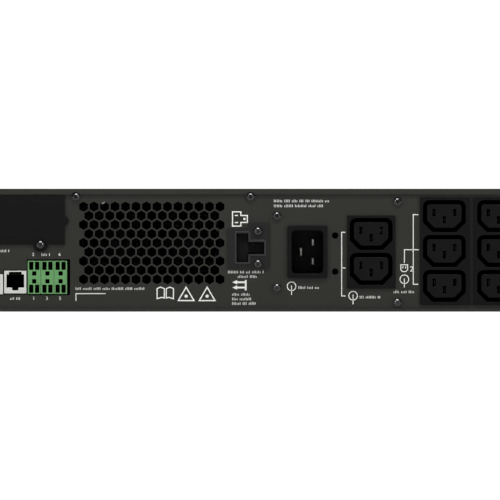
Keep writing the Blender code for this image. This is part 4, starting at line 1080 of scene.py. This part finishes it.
def rack_ear(name, side):
    """A bent angle at +X (1) or -X (-1): a flange with two rack slots, and a leg with three flat screws."""
    (low_x, front, high_x, back), _, height = on_plane(name, TOP_PLANE)
    inner, outer = sorted((abs(low_x), abs(high_x)))
    thickness, bend = 2.0, 2.6
    slots = [soft((RACK_HOLES / 2, height / 2 + rise), (10.0, 6.8), 3.39, 8) for rise in (-38.1, 38.1)]
    flange = rounded(rectangle(inner + bend, 0, outer, height), (0, 2.5, 2.5, 0))
    bend_centre = (inner + bend, front + bend)
    corner = arc(bend_centre, bend, 180, 270) + arc(bend_centre, bend - thickness, 270, 180)
    leg = soft_box((front + bend, 0, back, height), 0.3, 2)
    face = inner + thickness
    parts = laid(plates(CHARCOAL, ([flange, *slots], -front - thickness, -front, 0.25)), FRONT_PLANE)
    parts += plates(CHARCOAL, ([corner], 0, height))
    parts += laid(plates(CHARCOAL, ([leg], inner, face, 0.25)), SIDE_PLANE)
    for z in (20, 43, 66):
        head = turned([(0, 0.5), (2.6, 0.5), (3.4, 0), (3.4, -0.4), (0, -0.4)], (0, 0), 32)
        parts += laid([(head, SCREW)], SIDE_PLANE @ Matrix.Translation((front + 24, z, face)))
    if side < 0:
        laid(parts, Matrix.Scale(-1, 4, (1, 0, 0)))
        for mesh, _ in parts:
            mesh.flip_normals()
    stand_in(name, "angle", parts, TOP_PLANE)


# ---- fans

FAN_BORE = 23.6
FAN_HUB = 12.5
FAN_BLADES = 7
FAN_REACH = 20.0
FLANGE_THICK = 3.6


def fan(side):
    """A fan's frame with two flanges and a round shroud, its spokes and its bearing."""
    box, back, face = on_plane(f"fan_frame_{side}")
    c = middle(box)
    corners = moved([(a * FAN_REACH, b * FAN_REACH) for a in (-1, 1) for b in (-1, 1)], c)
    bore = circle(c, FAN_BORE, 64)
    flange = [soft_box(grown(box, -INSET), 3), bore, *[circle(corner, 2.1, 20) for corner in corners]]
    hub_low, hub_high = face - 3, face - 0.5
    arms = spokes(c, FAN_HUB - 1, FAN_BORE + 0.8, 3, DIAGONALS)
    parts = plates(
        FAN_BLACK_AND_PAINTED_SHADE,
        (flange, back + INSET, back + FLANGE_THICK, 0.4),
        (flange, face - FLANGE_THICK, face - INSET, 0.4),
        ([circle(c, FAN_BORE + 1.1, 64), bore], back + FLANGE_THICK - 0.5, face - FLANGE_THICK + 0.5),
        (ring(c, FAN_HUB, 1.9, 48), hub_low, hub_high, 0.4),
        *[([arm], hub_low + 0.4, hub_high - 0.4, 0.4) for arm in arms],
    )
    stand_in(f"fan_frame_{side}", "shroud", parts)


def fan_blade():
    """One twisted and cambered blade, from the hub at radius FAN_HUB outwards, about the plane's origin."""
    camber = [(-0.5, 0), (-0.3, 0.75), (0, 1.15), (0.3, 0.95), (0.5, 0.1), (0.3, 0.05), (0, 0.3), (-0.3, 0)]
    root, tip = FAN_HUB - 1.2, FAN_BORE - 1.4
    sections = []
    for out in (k / 5 for k in range(6)):
        radius = root + (tip - root) * out
        pitch = math.radians(44 - 14 * out)
        sweep, chord = 1.6 * out**2, 10.6 + 0.8 * out
        section = []
        for along, lift in camber:
            turn = (chord * along * math.cos(pitch) - lift * math.sin(pitch) + sweep) / radius
            rise = chord * along * math.sin(pitch) + lift * math.cos(pitch)
            section.append((*polar(radius, turn), rise))
        sections.append(section)
    return lofted(sections)


def fan_rotor(side):
    """Hub with a stepped rim, steel shaft and seven blades."""
    c = centre_of(f"fan_frame_{side}")
    low = on_plane(f"fan_frame_{side}")[1] + 2.02
    high = low + 14.38
    hub = [(0, low), (9.5, low), (9.8, low + 0.4), (FAN_HUB - 0.8, low + 0.4), (FAN_HUB, low + 1.2)]
    hub += [(FAN_HUB, high - 0.5), (FAN_HUB - 0.5, high), (10.2, high), (10.0, high - 0.6), (0, high - 0.6)]
    shaft = [(0, high - 0.6), (1.5, high - 0.6), (1.5, high + 2.3), (1.2, high + 2.55), (0, high + 2.55)]
    parts = [(turned(hub, c, 48), FAN_BLACK_AND_PAINTED_SHADE), (turned(shaft, c, 20), ZINC)]
    place = Matrix.Translation((*c, (low + high) / 2 - 0.3))
    for k in range(FAN_BLADES):
        turn = Matrix.Rotation(2 * math.pi * k / FAN_BLADES, 4, "Z")
        parts += laid([(fan_blade(), FAN_BLACK_AND_PAINTED_SHADE)], place @ turn)
    stand_in(f"fan_rotor_{side}", "blades", parts, smooth=50)


# ---- battery drawer

BLOCKS = 3
LID = 4.0
TAB_ALONG = 48
TAB_INSET = 12.5


def battery(box, low, top, tab_top):
    """A sealed battery with a ribbed lid and a collared tab at each end."""
    lid = grown(box, -0.6)
    centre_a, centre_b = middle(lid)
    vents = [soft((centre_a, centre_b + b), (lid[2] - lid[0] - 40, 16), 2) for b in (-26, 0, 26)]
    parts = plates(
        CASE,
        ([soft_box(box, 3)], low, top - LID, 0.8),
        ([soft_box(lid, 3)], top - LID + 0.02, top - 0.8, 0.8, 3),
        (vents, top - 1.5, top - 0.02, 0.4),
    )
    for b, collar in ((box[1] + TAB_INSET, RED), (box[3] - TAB_INSET, BLACK)):
        place = (box[0] + TAB_ALONG, b)
        rim = [soft(place, (13, 13), 2), soft(place, (8.4, 7.4), 0.5)]
        parts += plates(collar, (rim, top - 1, top + 1.2, 0.4))
        parts += plates(NICKEL, ([soft(place, (7.6, 6.6), 0.5)], top - 1, tab_top, 0.3))
    return parts


def battery_pack(name):
    """Three batteries side by side and the leads that link them."""
    (low_x, low_y, high_x, high_y), low_z, high_z = on_plane(name, TOP_PLANE)
    width = (high_x - low_x) / BLOCKS
    top = high_z - 4.0
    parts = []
    for k in range(BLOCKS):
        box = (low_x + k * width + 0.3, low_y + 0.02, low_x + (k + 1) * width - 0.3, high_y - 0.02)
        parts += battery(box, low_z + 0.02, top, high_z - 0.02)
    start, level = low_x + TAB_ALONG, top + 2.6
    for k in range(BLOCKS - 1):
        near, far = (start + k * width, high_y - TAB_INSET), (start + (k + 1) * width, low_y + TAB_INSET)
        path = [near, (near[0] + 14, near[1] - 6), (far[0] - 14, far[1] + 6), far]
        parts.append((wire([[(*point, level) for point in path]], 1.3), RED if k else BLACK))
    stand_in(name, "blocks", parts, TOP_PLANE)


def blind_connector(name, pins):
    """Half of the plug between the tray and the bay: a block with five mouths and a contact in each."""
    box, back, face = on_plane(name)
    half, low, high = (back + face) / 2, back + INSET, face - INSET
    mouth, base = ((half, high), (low, half)) if pins else ((low, half), (half, high))
    places = moved([(k * 8.4, 0) for k in (-2, -1, 0, 1, 2)], middle(box))
    mouths = [soft(place, (6.4, 16), 0.6) for place in places]
    blades = [soft(place, (2, 11), 0.3, 2) for place in places]
    shell = soft_box(grown(box, -INSET), 1.2)
    parts = plates(BLACK, ([shell, *mouths], *mouth, 0.25), ([shell], *base, 0.25))
    stand_in(name, "housing", parts + plates(NICKEL, (blades, back + 0.5, face - 0.6, 0.2)))


# ---- electronics

PARTS_ON_BOARD = 46


def component(kind, box, low, high):
    """A part that stands on a board: a reservoir, a chip with legs, an open header or a relay."""
    if kind == "reservoir":
        c, r = middle(box), min(box[2] - box[0], box[3] - box[1]) / 2
        return [(turned([(0, high), (r - 0.8, high), (r, high - 0.8), (r, low), (0, low)], c, 20), SLEEVE)]
    if kind == "chip":
        legs = [rectangle(box[0] + a, box[1] - 1, box[0] + a + 0.6, box[3] + 1) for a in (0.8, 2.4, 4.0)]
        chip = plates(BLACK, ([soft_box(box, 0.4)], low + 0.3, low + 2.0, 0.25))
        return chip + plates(NICKEL, (legs, low, low + 0.5, 0.05, 1))
    if kind == "header":
        return plates(GREY, ([soft_box(box, 0.6), soft_box(grown(box, -1.2), 0.4)], low, high, 0.2))
    return plates(BLACK, ([soft_box(box, 0.8)], low, high, 0.6))


def board_parts(name, tallest, avoid, seed):
    """Parts of random size and kind on a level board, clear of each other and of the big ones on it."""
    (low_x, low_y, high_x, high_y), _, top = on_plane(name, TOP_PLANE)
    chance = random.Random(seed)
    taken = [grown(on_plane(other, TOP_PLANE)[0], 2.5) for other in avoid]
    parts = []
    for _ in range(PARTS_ON_BOARD * 3):
        if len(taken) > PARTS_ON_BOARD:
            break
        size = (chance.uniform(5, 16), chance.uniform(5, 14))
        c = (chance.uniform(low_x + 10, high_x - 10), chance.uniform(low_y + 8, high_y - 8))
        here = around(c, size)
        if any(here[0] < t[2] and here[2] > t[0] and here[1] < t[3] and here[3] > t[1] for t in taken):
            continue
        taken.append(grown(here, 1.5))
        height = chance.uniform(2.0, tallest)
        kind = chance.choice(("chip", "reservoir", "header", "relay"))
        parts += component(kind, here, top, top + height)
    piece(f"{name}_parts", parts, TOP_PLANE)


def capacitor(name):
    """Reservoir capacitor: a rolled groove, a sleeve that folds over the rim and a scored lid."""
    box, low, high = on_plane(name, TOP_PLANE)
    c, r = middle(box), (box[2] - box[0]) / 2 - 0.05
    profile = [(0, low), (r - 1.2, low), (r, low + 1.2), (r, low + 4), (r - 1, low + 5.2), (r, low + 6.4)]
    profile += [(r, high - 1.6), (r - 1.5, high - 0.1), (r - 3.2, high - 0.1), (r - 3.6, high - 0.7)]
    lid = [(0, high - 0.7), (r - 3.6, high - 0.7)]
    scores = spokes(c, 0, 9, 0.7, (0.5, 2.6, 4.7))
    parts = [(turned(profile, c, 48), SLEEVE), (turned(lid, c, 48), ZINC)]
    parts += plates(BLACK, *[([score], high - 0.75, high - 0.45) for score in scores])
    stand_in(name, "can", parts, TOP_PLANE)


def inductor():
    """Toroid choke: a core with turns of enamelled wire round it."""
    box, low, high = on_plane("output_inductor", TOP_PLANE)
    c, level = middle(box), (low + high) / 2
    outer, tube = (box[2] - box[0]) / 2, (high - low) / 2
    wire_radius, windings, steps, lean = 1.05, 40, 16, 0.05
    core_radius, core, turn_radius = outer - tube, tube - 2 * wire_radius - 0.1, tube - wire_radius - 0.05
    angles = [math.pi * k / 8 for k in range(17)]
    profile = moved([polar(core, t) for t in angles], (core_radius, level))
    paths = []
    for start in (2 * math.pi * k / (windings + 3) for k in range(windings)):
        path = []
        for s in (2 * math.pi * k / steps for k in range(steps)):
            out, up = polar(turn_radius, s)
            place = polar(core_radius + out, start + lean * math.sin(s / 2))
            path.append((c[0] + place[0], c[1] + place[1], level + up))
        paths.append(path)
    parts = [(turned(profile, c, 48), SLEEVE), (wire(paths, wire_radius, True), COPPER)]
    stand_in("output_inductor", "turns", parts, TOP_PLANE)


# ---- room, light and camera


def glow(tree, others, seen):
    """A strength for the camera's rays, and a lower one for all others."""
    ray = node(tree, "LightPath", {}).outputs["Is Camera Ray"]
    return node(tree, "MapRange", {0: ray, 3: others, 4: seen}).outputs[0]


def stage():
    """A plain pale floor and an even white room. Both look white but light the object only a little."""
    bpy.ops.mesh.primitive_plane_add(size=14, location=(0, 0, -0.0005))
    floor = bpy.context.object
    floor.name = "floor"
    pale = surface("pale_floor", (0.7, 0.7, 0.7), 0.8, mottle=0.01, grain=4, depth=0.02)
    tree = pale.node_tree
    shader = tree.nodes["Principled BSDF"]
    shader.inputs["Emission Color"].default_value = (1, 1, 1, 1)
    tree.links.new(glow(tree, 0.12, 0.75), shader.inputs["Emission Strength"])
    floor.data.materials.append(pale)
    world = bpy.data.worlds.new("white_room")
    bpy.context.scene.world = world
    world.use_nodes = True
    tree = world.node_tree
    sky = node(tree, "Background", {"Color": (1, 1, 1, 1), "Strength": glow(tree, 0.12, 1.05)}).outputs[0]
    tree.links.new(sky, tree.nodes["World Output"].inputs["Surface"])


def soft_light(name, place, aim, size, power):
    """A rectangular soft box that points at aim."""
    lamp = bpy.data.lights.new(name, "AREA")
    lamp.shape = "RECTANGLE"
    lamp.size, lamp.size_y = size
    lamp.energy = power
    holder = bpy.data.objects.new(name, lamp)
    holder.location = place
    holder.rotation_euler = (Vector(aim) - Vector(place)).to_track_quat("-Z", "Y").to_euler()
    bpy.context.scene.collection.objects.link(holder)


def lights():
    """A lamp above and one at each side of the rear, and one above the front."""
    rear = (0, CASE_HIGH.y, CASE_HIGH.z / 2)
    front = (0, CASE_LOW.y, CASE_HIGH.z / 2)
    soft_light("above_rear", (0, 1.2, 1.7), rear, (1.4, 0.35), 28)
    soft_light("left_rear", (1.9, 1.7, 0.7), rear, (0.3, 1.2), 18)
    soft_light("right_rear", (-1.9, 1.7, 0.7), rear, (0.3, 1.2), 18)
    soft_light("above_front", (0.6, -1.6, 1.7), front, (2.0, 1.0), 34)


def camera():
    """A long lens square to the rear face, centred on the case, that sees 338 mm of its width."""
    distance, seen_width, level = 3.2, 0.338, 0.0416
    lens = bpy.data.cameras.new("camera")
    lens.sensor_width = 36
    lens.lens = lens.sensor_width * distance / seen_width
    lens.clip_end = 50
    holder = bpy.data.objects.new("camera", lens)
    holder.location = (0, SKIN * MM + distance, level)
    holder.rotation_euler = (math.pi / 2, 0, math.pi)
    bpy.context.scene.collection.objects.link(holder)
    bpy.context.scene.camera = holder
    bpy.context.scene.view_settings.view_transform = "Standard"


def rear_fittings():
    outlet_column("outlet_pair", 2, (-0.1, 0.4))
    outlet_column("outlet_triple_inner", 3)
    outlet_column("outlet_triple_outer", 3)
    heavy_outlet("heavy_outlet_upper")
    heavy_outlet("heavy_outlet_lower")
    for make in (joining_strip, inlet, battery_socket, modular_jack, usb_port, relay_terminals, slot_cover):
        make()
    for make in (fan_bracket, fan_lead, panel_seam, retainer_bushes, screws):
        make()
    for side in ("left", "right"):
        fan(side)
        fan_rotor(side)
    for make in (print_signal_ports, print_manual_line, print_battery_socket, print_inlet, print_outlets):
        make()


def front_fittings():
    front_shell("front_bezel", "case", [circle(centre_of("display_pod", FRONT_PLANE), 32.6, 72)])
    for make in (drawer_fascia, release_paddle, display, display_lens, keys):
        make()
    rack_ear("rack_ear_left", 1)
    rack_ear("rack_ear_right", -1)


def inner_fittings():
    battery_pack("battery_pack_front")
    battery_pack("battery_pack_rear")
    blind_connector("tray_connector", True)
    blind_connector("bay_connector", False)
    big = ("inverter_heatsink", "charger_heatsink", "bus_capacitor_1", "bus_capacitor_2", "output_inductor")
    board_parts("power_board", 26, (*big, "control_board"), 21)
    board_parts("control_board", 14, (), 22)
    board_parts("comm_board", 9, ("usb_port", "modular_jack", "relay_terminals"), 23)
    capacitor("bus_capacitor_1")
    capacitor("bus_capacitor_2")
    inductor()


camera()
stage()
lights()
paint_frame()
rear_fittings()
front_fittings()
inner_fittings()
